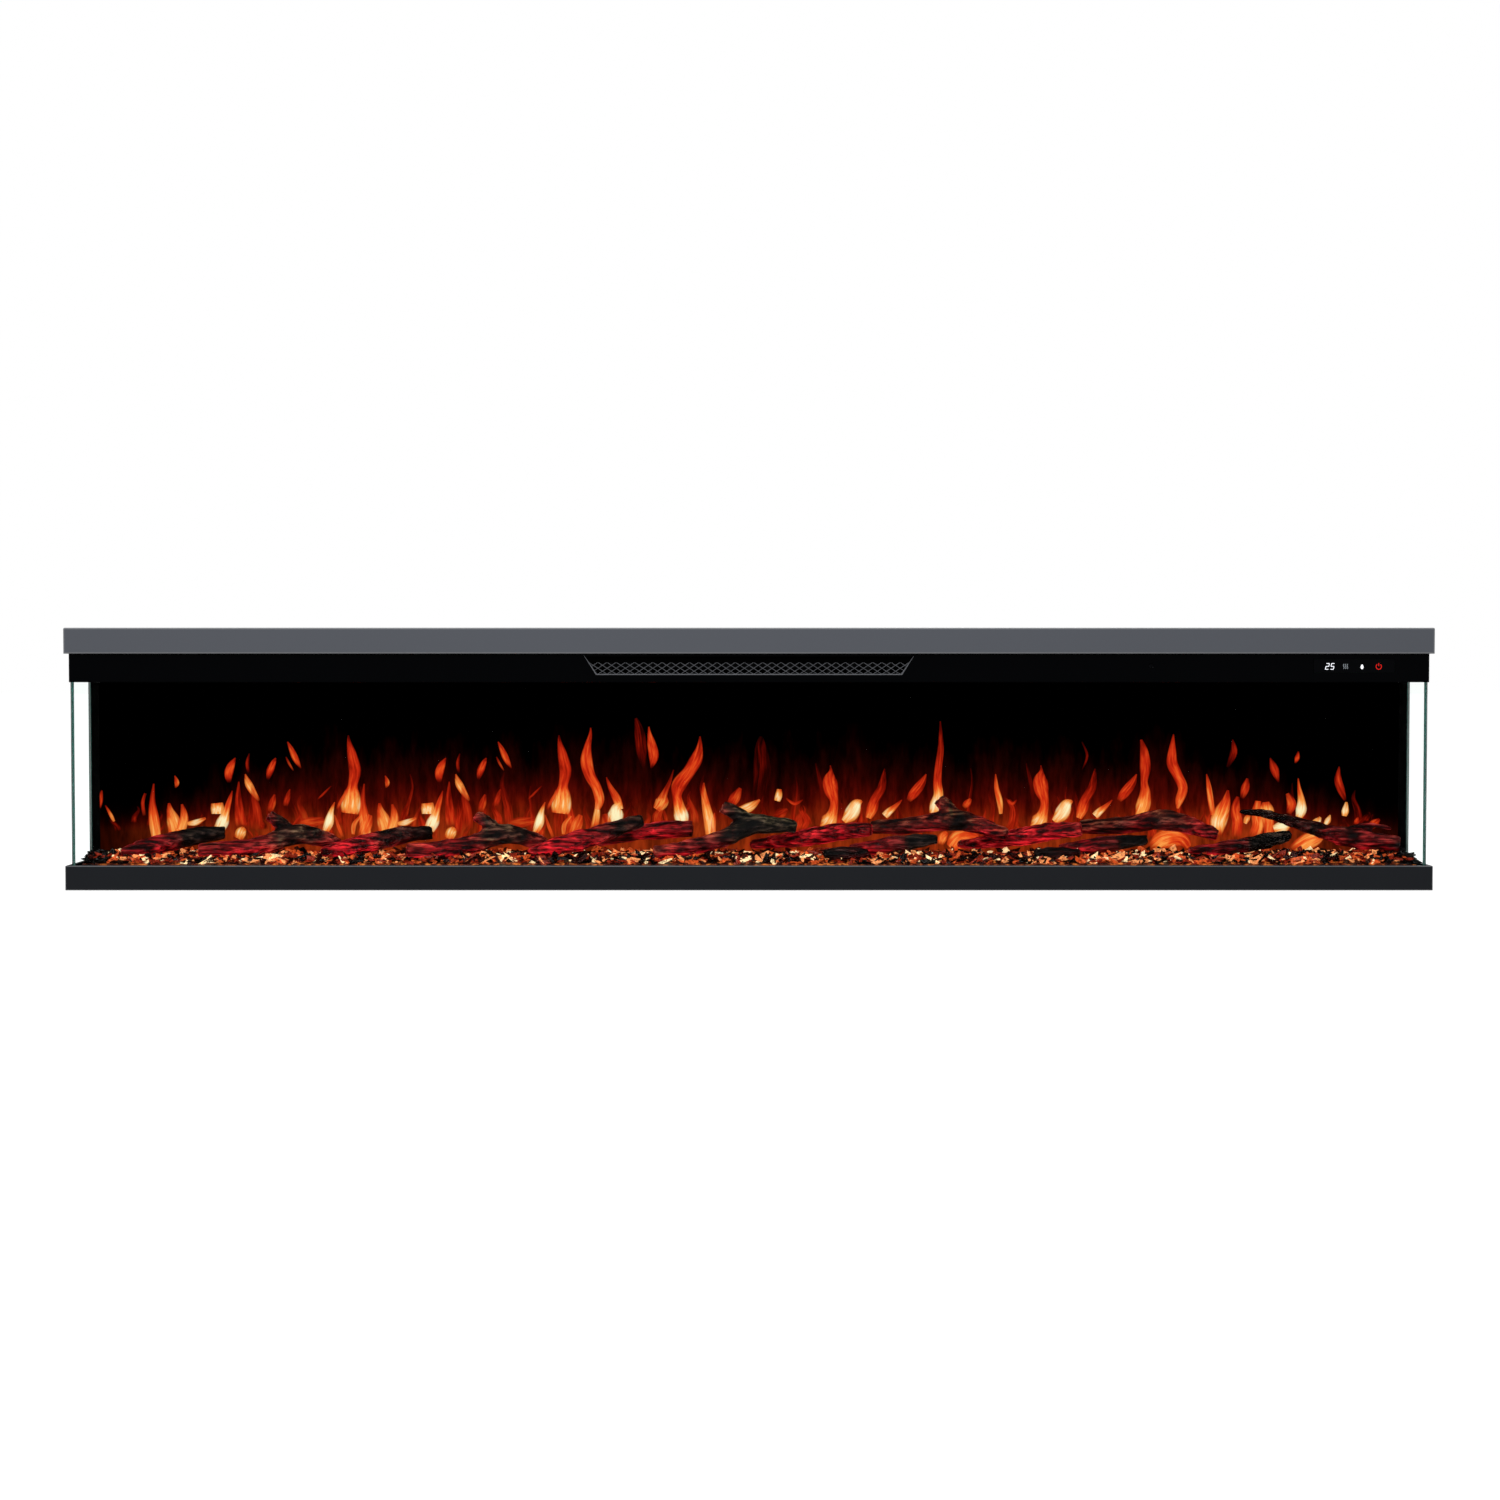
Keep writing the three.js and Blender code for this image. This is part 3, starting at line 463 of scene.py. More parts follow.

# %% [markdown]
# ## Logs
# The logs are cast resin with bark moulded in: dark ridges outside, and a translucent red core
# that a lamp lights from inside. The CAD solid has the right bends and thickness but flat facets.
# A copy of it is merged, remeshed at a few millimetres and displaced: long noise along the log
# for the ridges, and finer noise for the flakes. Sculpting each by hand would give the same bark
# more slowly.
#
# Which part glows differs from log to log, so a vertex attribute called glow holds it, from 0 for
# charred bark to 1 for the brightest core, with a blend between. It is raised on the undersides:
# painted light from the chips below.

# %% Where each log glows, and how grey its bark is
# Each entry is a list of (x in mm, glow) points along the log, then how grey and how green its
# bark is.
GLOWS = {
    "log_01": ([(-1175, 0.35), (-1110, 0.55), (-1085, 0.25), (-1060, 0.0)], 0.15, 0.0),
    "log_02": ([(-1030, 0.55), (-960, 0.8), (-905, 0.55), (-880, 0.05), (-820, 0.05),
                (-790, 0.35)], 0.75, 0.25),
    "log_03": ([(-801, 0.6), (-750, 1.0), (-715, 0.7), (-690, 0.1), (-600, 0.0)], 0.2, 0.0),
    "log_04": ([(-641, 0.5), (-575, 0.8), (-515, 0.5), (-490, 0.05), (-430, 0.05),
                (-400, 0.3)], 0.75, 0.3),
    "log_05": ([(-412, 0.7), (-360, 1.0), (-310, 0.8), (-280, 0.35), (-245, 0.1),
                (-200, 0.0)], 0.35, 0.0),
    "log_06": ([(-297, 0.1), (-220, 0.45), (-180, 0.7), (-130, 0.55), (-107, 0.1)], 0.2, 0.0),
    "log_07": ([(-178, 0.25), (-140, 0.7), (-110, 0.55), (-60, 0.3), (-25, 0.0),
                (88, 0.0)], 0.8, 0.35),
    "log_08": ([(2, 0.3), (60, 0.4), (110, 0.8), (170, 0.9), (228, 0.45)], 0.3, 0.1),
    "log_09": ([(230, 0.1), (300, 0.2), (350, 0.35), (380, 0.05), (420, 0.15), (440, 0.55),
                (485, 0.2)], 0.4, 0.5),
    "log_10": ([(188, 0.3), (240, 0.55), (270, 0.2), (300, 0.0)], 0.1, 0.0),
    "log_11": ([(138, 0.0), (224, 0.05)], 0.0, 0.0),
    "log_12": ([(397, 0.35), (470, 0.45), (520, 0.8), (570, 0.9), (623, 0.4)], 0.3, 0.1),
    "log_13": ([(625, 0.1), (700, 0.15), (745, 0.4), (770, 0.1), (815, 0.2), (845, 0.6),
                (880, 0.35)], 0.4, 0.5),
    "log_14": ([(583, 0.3), (635, 0.55), (665, 0.2), (700, 0.0)], 0.1, 0.0),
    "log_15": ([(533, 0.0), (619, 0.05)], 0.0, 0.0),
    "log_16": ([(823, 0.3), (870, 0.5), (915, 0.3), (940, 0.0)], 0.15, 0.0),
    "log_17": ([(927, 0.0), (1060, 0.05), (1100, 0.3), (1130, 0.15), (1165, 0.4),
                (1229, 0.1)], 0.25, 0.0),
}


def between(points, x):
    """The value at x on a line through (x, value) points."""
    if x <= points[0][0]:
        return points[0][1]
    for (x0, v0), (x1, v1) in zip(points, points[1:]):
        if x <= x1:
            return v0 + (v1 - v0) * (x - x0) / (x1 - x0)
    return points[-1][1]


# %% [markdown]
# The bark's colour comes from the same ridges as its shape, so the tops can be ashen and the
# cracks black. Four vertex attributes drive it: ridge, which is the height of the carved bark,
# glow, ash and moss. Cracks some 3 mm apart and 30 mm long, which are finer than the mesh can
# carve, come from a drawn-out noise.


# %% Bark
LOG_GLOW = 1.3
CRACK_LENGTH, CRACK_GAP = 30 * MM, 3.4 * MM
BARK_SHADES = {  # from the foot of a ridge to its top
    "charred": ((0.25, "#030202"), (0.55, "#120a0a"), (0.92, "#3a2826")),
    "ashen": ((0.2, "#090605"), (0.5, "#382a20"), (0.92, "#947c60")),
    "mossy": ((0.2, "#080904"), (0.5, "#2c3018"), (0.92, "#707440")),
    "core": ((0.2, "#0c0102"), (0.5, "#2c0408"), (0.95, "#601018")),
    "light": ((0.2, "#300104"), (0.5, "#9c0612"), (0.9, "#f21e2a")),
}


def bark_material():
    material, shader = start_material("cast_resin_bark", roughness=0.72, specular_ior_level=0.15)
    ridge, glow, ash, moss = [
        add_node(material, "Attribute", {"attribute_name": key}).outputs["Fac"]
        for key in ("ridge", "glow", "ash", "moss")
    ]
    charred, ashen, mossy, core, light = [
        add_node(material, "ValToRGB", {"stops": stops}, Fac=ridge).outputs["Color"]
        for stops in BARK_SHADES.values()
    ]
    colour = charred
    for share, shade in ((ash, ashen), (moss, mossy), (glow, core)):
        mixed = add_node(material, "MixRGB", {}, Fac=share, Color1=colour, Color2=shade)
        colour = mixed.outputs["Color"]
    place = add_node(material, "TexCoord").outputs["Object"]
    stretch = {"Scale": (1 / CRACK_LENGTH, 1 / CRACK_GAP, 1 / CRACK_GAP)}
    drawn = add_node(material, "Mapping", stretch, Vector=place).outputs["Vector"]
    split = add_node(material, "TexNoise", {"Scale": 1.0, "Detail": 4, "Roughness": 0.62}, Vector=drawn)
    depth = {"From Min": 0.4, "From Max": 0.58, "To Min": 0.1, "To Max": 1.0}
    cracks = add_node(material, "MapRange", depth, Value=split.outputs["Fac"]).outputs["Result"]
    darken = {"blend_type": "MULTIPLY", "Fac": 1.0}
    parted = add_node(material, "MixRGB", darken, Color1=colour, Color2=cracks)
    link(material, parted.outputs["Color"], shader.inputs["Base Color"])
    link(material, light, shader.inputs["Emission Color"])
    lit_bark = add_node(material, "Math", {"operation": "MULTIPLY"}, _0=glow, _1=cracks)
    power = add_node(material, "Math", {"operation": "MULTIPLY"}, _0=lit_bark.outputs["Value"])
    power.inputs[1].default_value = LOG_GLOW
    link(material, power.outputs["Value"], shader.inputs["Emission Strength"])
    bump = add_node(material, "Bump", {"Distance": 1.2 * MM, "Strength": 0.7}, Height=cracks)
    link(material, bump.outputs["Normal"], shader.inputs["Normal"])
    return material


bark = bark_material()
print("bark shades:", list(BARK_SHADES))

# %% [markdown]
# A log starts as the CAD solid's own mesh, whose faces are far too long to displace. A Remesh
# modifier rebuilds it in even voxels, two rounds of smoothing take the voxels' steps off, and the
# result is a bmesh ready to carve.

# %% Rough out one log from its CAD solid
LOG_VOXEL = 3.2 * MM


def remeshed(mesh_data, voxel):
    """Rebuilds a closed shape in even voxels, so that it can be displaced."""
    mesh = bpy.data.meshes.new("rough")
    mesh_data.to_mesh(mesh)
    mesh_data.free()
    rough = bpy.data.objects.new("rough", mesh)
    bpy.context.scene.collection.objects.link(rough)
    modifier = rough.modifiers.new("voxels", "REMESH")
    modifier.mode = "VOXEL"
    modifier.voxel_size = voxel
    seen = rough.evaluated_get(bpy.context.evaluated_depsgraph_get())
    result = bmesh.new()
    result.from_mesh(seen.to_mesh())
    bpy.data.objects.remove(rough)
    bpy.data.meshes.remove(mesh)
    every_way = {"use_axis_x": True, "use_axis_y": True, "use_axis_z": True}
    for _ in range(2):
        bmesh.ops.smooth_vert(result, verts=result.verts, factor=0.5, **every_way)
    result.normal_update()
    return result


# %% [markdown]
# Bark ridges run along the log. Noise stretched along X does this well enough, because every log
# lies within thirty degrees of X. The stretch is about eight to one: ridges some 6 mm apart and
# 50 mm long.


# %% Carve bark
BARK_RELIEF = 4.2 * MM  # from the deepest groove to the highest ridge
BARK_LEVEL = 0.55  # the ridge height that stays at the CAD surface
ASH_PATCH = 28 * MM
BARK_NOISES = [  # length along X in mm, width in mm, share
    (50, 6, 0.7),
    (22, 12, 0.3),
    (12, 2.6, 0.25),
]


def clamped(value):
    return min(1.0, max(0.0, value))


def bark_height(place, seed):
    """Ridge height from 0 to 1 at a place in metres."""
    p = place / MM
    value = 0.5
    for number, (length, width, share) in enumerate(BARK_NOISES):
        grain = Vector((p.x / length, p.y / width, p.z / width))
        value += share * noise.noise(grain + (number + 1) * seed)
    return clamped(value)


def carve_log(name, number):
    points, grey, green = GLOWS[name]
    log = remeshed(merged_copy(name), LOG_VOXEL)
    seed = Vector((number * 7.3, number * 3.1, number * 1.7))  # no two logs have the same bark
    layers = {key: log.verts.layers.float.new(key) for key in ("ridge", "glow", "ash", "moss")}
    for vert in log.verts:
        height = bark_height(vert.co, seed)
        patch = noise.noise(vert.co / ASH_PATCH + seed)
        # Painted light: undersides glow more, where the light of the chips below falls.
        under = 0.5 - 0.5 * vert.normal.z  # the light comes from the chips below
        glow = between(points, vert.co.x / MM) * (0.75 + 0.35 * under)
        glow = glow * (0.75 + 0.4 * height) + 0.2 * patch * (glow > 0.05)
        vert[layers["ridge"]] = height
        vert[layers["glow"]] = clamped(glow)
        vert[layers["ash"]] = clamped(grey * (0.6 + 0.9 * patch + 0.5 * vert.normal.z))
        vert[layers["moss"]] = clamped(green * (0.2 + 1.2 * patch + 0.6 * vert.normal.z))
    for vert in log.verts:
        vert.co += vert.normal * (vert[layers["ridge"]] - BARK_LEVEL) * BARK_RELIEF
    piece = finish_piece(name + "_bark", log, bark, smooth=True)
    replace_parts(piece, name)
    return piece


logs = [carve_log(name, number) for number, name in enumerate(sorted(GLOWS))]
print("logs:", len(logs), " largest:", max(len(log.data.polygons) for log in logs), "faces")

# %% [markdown]
# ## Ember bed
# The bed is a heap of resin chips like broken bark, lit from below by a strip of lamps. There are
# nearly four thousand, so each has only six faces: a small block, put out of square by moving its
# corners about, and scattered with a fixed seed. A colour attribute holds what each chip is: most
# glow orange or copper, some are pale and hot, and some stay dark. Towards the two ends the lamps
# stop, and the chips are black.


# %% Chip finish
def chip_material():
    material, shader = start_material("cast_resin_chips", roughness=0.42, specular_ior_level=0.25)
    tint = add_node(material, "Attribute", {"attribute_name": "tint"}).outputs["Color"]
    warmth = add_node(material, "Attribute", {"attribute_name": "warmth"}).outputs["Fac"]
    grain = speckle(material, 5, 3)
    stops = ((0.3, "#6e6e6e"), (0.6, "#ffffff"))
    shade = add_node(material, "ValToRGB", {"stops": stops}, Fac=grain).outputs["Color"]
    darken = {"blend_type": "MULTIPLY", "Fac": 1.0}
    colour = add_node(material, "MixRGB", darken, Color1=tint, Color2=shade).outputs["Color"]
    link(material, colour, shader.inputs["Base Color"])
    link(material, colour, shader.inputs["Emission Color"])
    link(material, warmth, shader.inputs["Emission Strength"])
    bump = add_node(material, "Bump", {"Distance": 0.6 * MM, "Strength": 1.0}, Height=grain)
    link(material, bump.outputs["Normal"], shader.inputs["Normal"])
    return material


chips_finish = chip_material()
print("chips are", chips_finish.name)

# %% [markdown]
# The chips are dealt in six runs, so that no piece grows too large. They lie on the sloping top
# of the CAD bed, nearly half of them in a strip at the front where the heap is seen best, and any
# chip that would poke through the front edge is pushed back behind it.

# %% Scatter the chips
EMBER_GLOW = 0.78  # of the strengths below
CHIP_COLOURS = [  # share, sRGB colour, strength of the glow
    (0.29, "#100505", 0.0),
    (0.18, "#3c100c", 0.2),
    (0.22, "#962a16", 0.55),
    (0.15, "#d25626", 0.85),
    (0.10, "#f4985c", 1.1),
    (0.06, "#ffdca6", 1.3),
]
DEAD_CHIP = ("#0b0706", 0.0)
CHIP_SIZES = ((13, 28), (6, 13), (2, 4.5))  # least and most length, width and thickness in mm
FRONT_SHARE = 0.45  # of the chips, dealt again into the strip at the front
FRONT_STRIP = 45 * MM
FRONT_RIM, BACK_RIM = 6 * MM, 8 * MM  # no chip has its middle nearer to the bed's edges
HEAP = (-1, 7)  # mm that a chip lies above the bed's slope
LIT_HALF = 1236  # mm from the middle, where the glow has died away
LIT_FADE = 70  # mm over which it dies
STRAY_SHARE = 0.08  # of the chips past the lamps that still glow
CORNER_PULL = 0.3  # of a chip's size, either way
CHIP_BEND = 0.25
BED_TOP = [(-101, 46), (-85, 52), (-55, 54.5), (18, 56)]  # (y, z) in mm, the slope of the CAD bed


def one_chip(mesh_data, centre, size, dice, colour, glow, layers):
    """A bent flake of broken bark: a block with its corners moved about."""
    made = bmesh.ops.create_cube(mesh_data, size=1.0)["verts"]
    length, width, thickness = size
    bmesh.ops.scale(mesh_data, verts=made, vec=(length, width, thickness))
    for vert in made:
        pull = Vector([dice.uniform(-CORNER_PULL, CORNER_PULL) for _ in range(3)])
        vert.co += Vector((pull.x * length, pull.y * width, pull.z * thickness))
        vert.co.z += abs(vert.co.x) * CHIP_BEND
    turn = Matrix.Rotation(dice.uniform(0, math.tau), 4, "Z")
    tilt = Matrix.Rotation(dice.gauss(0, 0.5), 4, "X") @ Matrix.Rotation(dice.gauss(0, 0.4), 4, "Y")
    bmesh.ops.transform(mesh_data, matrix=Matrix.Translation(centre) @ turn @ tilt, verts=made)
    for vert in made:
        vert[layers[0]] = linear(colour)
        vert[layers[1]] = glow
    return made


def scatter_chips(name, x0, x1, count, seed):
    dice = random.Random(seed)
    mesh_data = bmesh.new()
    tint, warmth = mesh_data.verts.layers.float_color, mesh_data.verts.layers.float
    layers = (tint.new("tint"), warmth.new("warmth"))
    for _ in range(count):
        x = dice.uniform(x0, x1)
        y = dice.uniform(bed_low.y + FRONT_RIM, bed_high.y - BACK_RIM)
        if dice.random() < FRONT_SHARE:
            y = dice.uniform(bed_low.y + FRONT_RIM, bed_low.y + FRONT_STRIP)
        z = between(BED_TOP, y / MM) * MM + dice.uniform(*HEAP) * MM
        size = [dice.uniform(*span) * MM for span in CHIP_SIZES]
        pick = dice.random()
        for share, colour, glow in CHIP_COLOURS:
            if pick < share:
                break
            pick -= share
        lit_share = clamped((LIT_HALF - abs(x) / MM) / LIT_FADE)
        if dice.random() > lit_share + STRAY_SHARE:
            colour, glow = DEAD_CHIP
        chip = one_chip(mesh_data, Vector((x, y, z)), size, dice, colour, glow * EMBER_GLOW, layers)
        push_back = bed_low.y + 1.5 * MM - min(v.co.y for v in chip)
        if push_back > 0:
            bmesh.ops.translate(mesh_data, verts=chip, vec=(0, push_back, 0))
    mesh_data.normal_update()
    return finish_piece(name, mesh_data, chips_finish)


CHIPS_PER_RUN = 640
FIRST_SEED = 11
chip_runs = []
for number in range(6):
    x0 = -bed_high.x + number * bed_high.x / 3
    x1 = x0 + bed_high.x / 3
    name = "ember_chips_%d" % (number + 1)
    chip_runs.append(scatter_chips(name, x0 + 8 * MM, x1 - 2 * MM, CHIPS_PER_RUN, FIRST_SEED + number))
print("chips:", sum(len(run.data.polygons) // 6 for run in chip_runs))


# %% [markdown]
# Under the chips the CAD bed itself shows in the gaps. It is the same resin, lit more dimly:
# noise cells as large as a chip go from black to amber, and the glow fades out at both ends,
# where the lamp strip stops.


# %% The bed under the chips
def bed_material():
    material, shader = start_material("amber_resin_bed", roughness=0.5)
    cells = speckle(material, 11, 3)
    stops = ((0.4, "#120504"), (0.52, "#5a1c0c"), (0.66, "#e07830"))
    colour = add_node(material, "ValToRGB", {"stops": stops}, Fac=cells).outputs["Color"]
    link(material, colour, shader.inputs["Base Color"])
    link(material, colour, shader.inputs["Emission Color"])
    place = add_node(material, "TexCoord").outputs["Object"]
    x = add_node(material, "SeparateXYZ", {}, Vector=place).outputs["X"]
    out = add_node(material, "Math", {"operation": "ABSOLUTE"}, _0=x).outputs["Value"]
    dying = {"From Min": 1.16, "From Max": 1.23, "To Min": 0.4, "To Max": 0.0}
    fade = add_node(material, "MapRange", dying, Value=out)
    link(material, fade.outputs["Result"], shader.inputs["Emission Strength"])
    bump = add_node(material, "Bump", {"Distance": 3 * MM, "Strength": 1.0}, Height=cells)
    link(material, bump.outputs["Normal"], shader.inputs["Normal"])
    return material


print("bed finish:", refinish("ember_bed", bed_material()).materials[0].name)

# %% [markdown]
# ## Flames
# The picture of the flames is light thrown on the back of the smoked screen, so it has no depth.
# It could be one pattern painted on the screen, but each flame has its own bends and its own
# bright foot, so each one is a thin sheet of its own, a little in front of the screen, and the
# soft haze behind them is in the screen's finish.
#
# A flame sheet is a grid bent along a centre line of points, each with its place and half width.
# Three attributes shade it: warmth, from 0 for dull red to 1 for near white; veil, from 0 at its
# soft edges to 1 where it covers the screen; and grain, which is the place on the sheet in
# millimetres, across and along, so that the streaks inside follow the flame's bends.


# %% Flame finish
STREAK_WIDTH, STREAK_LENGTH = 4.5, 36  # mm, as the grain attribute is
FLAME_COLOURS = (  # by warmth
    (0.0, "#2e0301"), (0.2, "#801004"), (0.38, "#c82a10"),
    (0.56, "#ec561e"), (0.76, "#ffa24a"), (1.0, "#fff0be"),
)


def flame_material():
    material, shader = start_material(
        "light_on_smoked_screen", base_color="#000000", roughness=1.0, specular_ior_level=0.0,
        emission_strength=1.0,
    )
    warmth = add_node(material, "Attribute", {"attribute_name": "warmth"}).outputs["Fac"]
    veil = add_node(material, "Attribute", {"attribute_name": "veil"}).outputs["Fac"]
    grain = add_node(material, "Attribute", {"attribute_name": "grain"}).outputs["Vector"]
    stretch = {"Scale": (1 / STREAK_WIDTH, 1 / STREAK_LENGTH, 1)}
    drawn = add_node(material, "Mapping", stretch, Vector=grain).outputs["Vector"]
    fibres = {"Scale": 1.0, "Detail": 3, "Roughness": 0.55}
    streaks = add_node(material, "TexNoise", fibres, Vector=drawn)
    swing = {**NOISE_SPAN, "To Min": -0.17, "To Max": 0.15}
    change = add_node(material, "MapRange", swing, Value=streaks.outputs["Fac"]).outputs["Result"]
    warmth = add_node(material, "Math", {"operation": "ADD"}, _0=warmth, _1=change).outputs["Value"]
    colour = add_node(material, "ValToRGB", {"stops": FLAME_COLOURS}, Fac=warmth).outputs["Color"]
    link(material, colour, shader.inputs["Emission Color"])
    link(material, veil, shader.inputs["Alpha"])
    return material


flame_finish = flame_material()
print("flame finish:", flame_finish.name)


# %% [markdown]
# Each row of a sheet has seven points across. The middle ones are solid, and the veil falls to
# nothing at the two rims, which gives a flame its soft sides. The centre line is smoothed by a
# Catmull-Rom spline, so that three points are enough for a curl and nine for the tallest flame.
#
# The lists below give each flame as it looks in the plane of the front glass. The screen stands
# farther back, so the same picture lies on it a little larger, spread about the eye's height.


# %% Build one flame
ACROSS = [(-1.0, 0.0), (-0.82, 0.7), (-0.45, 1.0), (0.0, 1.0), (0.45, 1.0), (0.82, 0.7), (1.0, 0.0)]
ROWS_PER_STEP = 5
FOOT_ROWS = 3  # over which a soft foot fades in
STEP_LENGTH = 24  # mm along the flame between two listed points, near enough for its streaks
GRAIN_STEP = 3.7  # moves on in the noise from sheet to sheet, so that no two have the same streaks
FULLNESS = 1.2  # the soft rims make a sheet look thinner than it is
THROW = 1 + (screen_low.y - glass_low.y) / VIEW_DISTANCE
print("the picture on the screen is %.1f %% larger than at the glass" % (100 * THROW - 100))


def spline(points, t):
    """A point on the Catmull-Rom curve through the points, t from 0 to len - 1."""
    i = min(int(t), len(points) - 2)
    u = t - i
    p0, p1 = points[max(i - 1, 0)], points[i]
    p2, p3 = points[i + 1], points[min(i + 2, len(points) - 1)]
    return [
        b + 0.5 * ((c - a) * u + (2 * a - 5 * b + 4 * c - d) * u**2 + (3 * b - a - 3 * c + d) * u**3)
        for a, b, c, d in zip(p0, p1, p2, p3)
    ]


def thrown(x, z):
    """From mm in the plane of the front glass to metres on the screen behind, as seen from the eye."""
    return x * MM * THROW, VIEW_HEIGHT + (z * MM - VIEW_HEIGHT) * THROW


def add_flame(mesh_data, layers, points, y, fade_foot, number):
    """points are (x mm, z mm, half width mm, warmth, veil), from the foot up."""
    warmth_layer, veil_layer, grain_layer = layers
    last = len(points) - 1
    sheet = bmesh.ops.create_grid(
        mesh_data, x_segments=len(ACROSS) - 1, y_segments=last * ROWS_PER_STEP, size=1
    )["verts"]
    for vert in sheet:
        place, edge = ACROSS[round((vert.co.x + 1) / 2 * (len(ACROSS) - 1))]
        t = (vert.co.y + 1) / 2 * last
        x, z, half, warmth, veil = spline(points, t)
        half = max(half, 0.25) * FULLNESS
        ahead = spline(points, min(t + 0.01, last))
        behind = spline(points, max(t - 0.01, 0))
        run = Vector((ahead[0] - behind[0], ahead[1] - behind[1])).normalized()
        foot = min(1.0, t * ROWS_PER_STEP / FOOT_ROWS) if fade_foot else 1.0
        x, z = thrown(x + run.y * place * half, z - run.x * place * half)
        vert.co = (x, y, z)
        vert[warmth_layer] = clamped(warmth * (0.75 + 0.25 * edge))
        vert[veil_layer] = clamped(veil * edge * foot)
        vert[grain_layer] = Vector((place * half, t * STEP_LENGTH, number * GRAIN_STEP))


# %% [markdown]
# The flames are listed by where they stand. The moving picture repeats every 391 mm along the
# left half, because the flame plate's slots repeat, so the first group is made twice.

# %% The repeated group of flames
REPEAT = 391
GROUP = [
    # (x mm, z mm, half width mm, warmth, veil), from the foot up
    [(-1102, 98, 8, 0.75, 0.9), (-1106, 130, 9, 0.62, 0.95), (-1109, 165, 5, 0.4, 0.8),
     (-1106, 198, 1.5, 0.3, 0.5)],
    [(-1124, 138, 3, 0.4, 0.5), (-1127, 162, 3, 0.35, 0.7), (-1122, 180, 2, 0.25, 0.5)],
    [(-1066, 108, 12, 0.66, 0.9), (-1070, 130, 11, 0.75, 0.95), (-1076, 148, 6, 0.6, 0.8),
     (-1078, 162, 2, 0.4, 0.6)],
    [(-1056, 112, 8, 0.72, 0.9), (-1050, 136, 7, 0.6, 0.9), (-1054, 160, 2, 0.35, 0.5)],
    [(-1066, 190, 1, 0.5, 0.5), (-1063, 200, 4, 0.55, 0.8), (-1067, 213, 1, 0.4, 0.5)],
    [(-1044, 124, 3, 0.7, 0.8), (-1028, 126, 5, 0.95, 0.9), (-1010, 134, 2, 0.5, 0.6)],
    [(-988, 142, 10, 0.82, 0.95), (-988, 152, 11, 0.86, 1.0), (-989, 162, 10, 0.62, 0.8)],
    [(-986, 112, 9, 0.8, 0.9), (-978, 128, 10, 1.0, 1.0), (-972, 146, 6, 0.68, 0.95),
     (-966, 166, 4, 0.45, 0.9), (-960, 185, 1, 0.3, 0.5)],
    [(-966, 200, 3, 0.2, 0.5), (-967, 216, 7, 0.42, 0.95), (-962, 232, 6, 0.42, 0.95),
     (-954, 246, 1, 0.3, 0.6)],
    [(-944, 120, 10, 0.42, 0.85), (-947, 145, 8, 0.36, 0.85), (-949, 175, 5, 0.28, 0.8),
     (-948, 202, 1, 0.2, 0.5)],
    [(-910, 166, 2, 0.5, 0.6), (-920, 180, 5, 0.6, 0.9), (-930, 198, 6, 0.78, 0.9),
     (-936, 216, 1, 0.5, 0.5)],
    [(-930, 218, 2, 0.2, 0.5), (-932, 236, 3, 0.3, 0.7), (-928, 254, 1, 0.2, 0.4)],
    [(-918, 112, 13, 0.3, 0.7), (-918, 145, 11, 0.3, 0.7), (-922, 180, 4, 0.2, 0.5),
     (-924, 196, 1, 0.1, 0.3)],
    [(-950, 96, 7, 0.6, 0.6), (-944, 108, 9, 0.86, 0.9), (-938, 116, 4, 0.6, 0.6)],
    [(-894, 205, 2, 0.25, 0.5), (-890, 222, 6, 0.4, 0.9), (-883, 238, 4, 0.35, 0.85),
     (-879, 246, 1, 0.3, 0.5)],
    [(-832, 226, 1, 0.3, 0.5), (-842, 244, 5, 0.45, 0.85), (-850, 262, 4, 0.42, 0.8),
     (-857, 276, 1, 0.3, 0.5)],
    [(-846, 222, 1, 0.45, 0.4), (-854, 235, 2, 0.5, 0.5), (-860, 248, 1, 0.4, 0.3)],
    [(-890, 146, 4, 0.5, 0.7), (-886, 162, 6, 0.45, 0.7), (-881, 178, 2, 0.3, 0.5)],
    [(-862, 156, 4, 0.3, 0.7), (-858, 172, 5, 0.36, 0.7), (-853, 188, 1, 0.25, 0.4)],
    [(-803, 168, 1, 0.2, 0.5), (-790, 180, 2, 0.3, 0.7), (-776, 194, 1, 0.2, 0.4)],
    [(-840, 122, 7, 0.35, 0.5), (-815, 126, 9, 0.45, 0.6), (-790, 130, 5, 0.4, 0.5)],
    [(-790, 104, 4, 0.6, 0.7), (-781, 126, 8, 0.95, 1.0), (-776, 148, 4, 0.8, 0.9),
     (-770, 164, 1, 0.5, 0.5)],
    [(-755, 98, 3, 0.5, 0.7), (-763, 118, 3, 0.5, 0.8), (-770, 140, 1, 0.4, 0.4)],
    [(-744, 92, 12, 0.18, 0.5), (-744, 130, 11, 0.22, 0.5), (-741, 152, 10, 0.3, 0.5)],
    [(-742, 143, 14, 0.62, 0.9), (-740, 158, 17, 0.8, 1.0), (-738, 180, 13, 0.62, 1.0),
     (-736, 196, 8, 0.4, 1.0), (-732, 222, 10, 0.38, 1.0), (-737, 250, 8, 0.34, 0.95),
     (-742, 272, 4, 0.3, 0.9), (-744, 288, 1, 0.25, 0.6)],
    [(-766, 150, 2, 0.3, 0.6), (-757, 168, 3, 0.45, 0.8), (-744, 190, 1, 0.35, 0.5)],
    [(-736, 104, 3, 0.6, 0.7), (-734, 122, 4, 0.7, 0.8), (-722, 138, 2, 0.5, 0.6)],
    [(-722, 98, 5, 0.5, 0.7), (-712, 120, 10, 0.58, 0.8), (-704, 140, 4, 0.45, 0.6)],
]

# %% [markdown]
# The flames of the middle follow no repeat, so each is listed once.

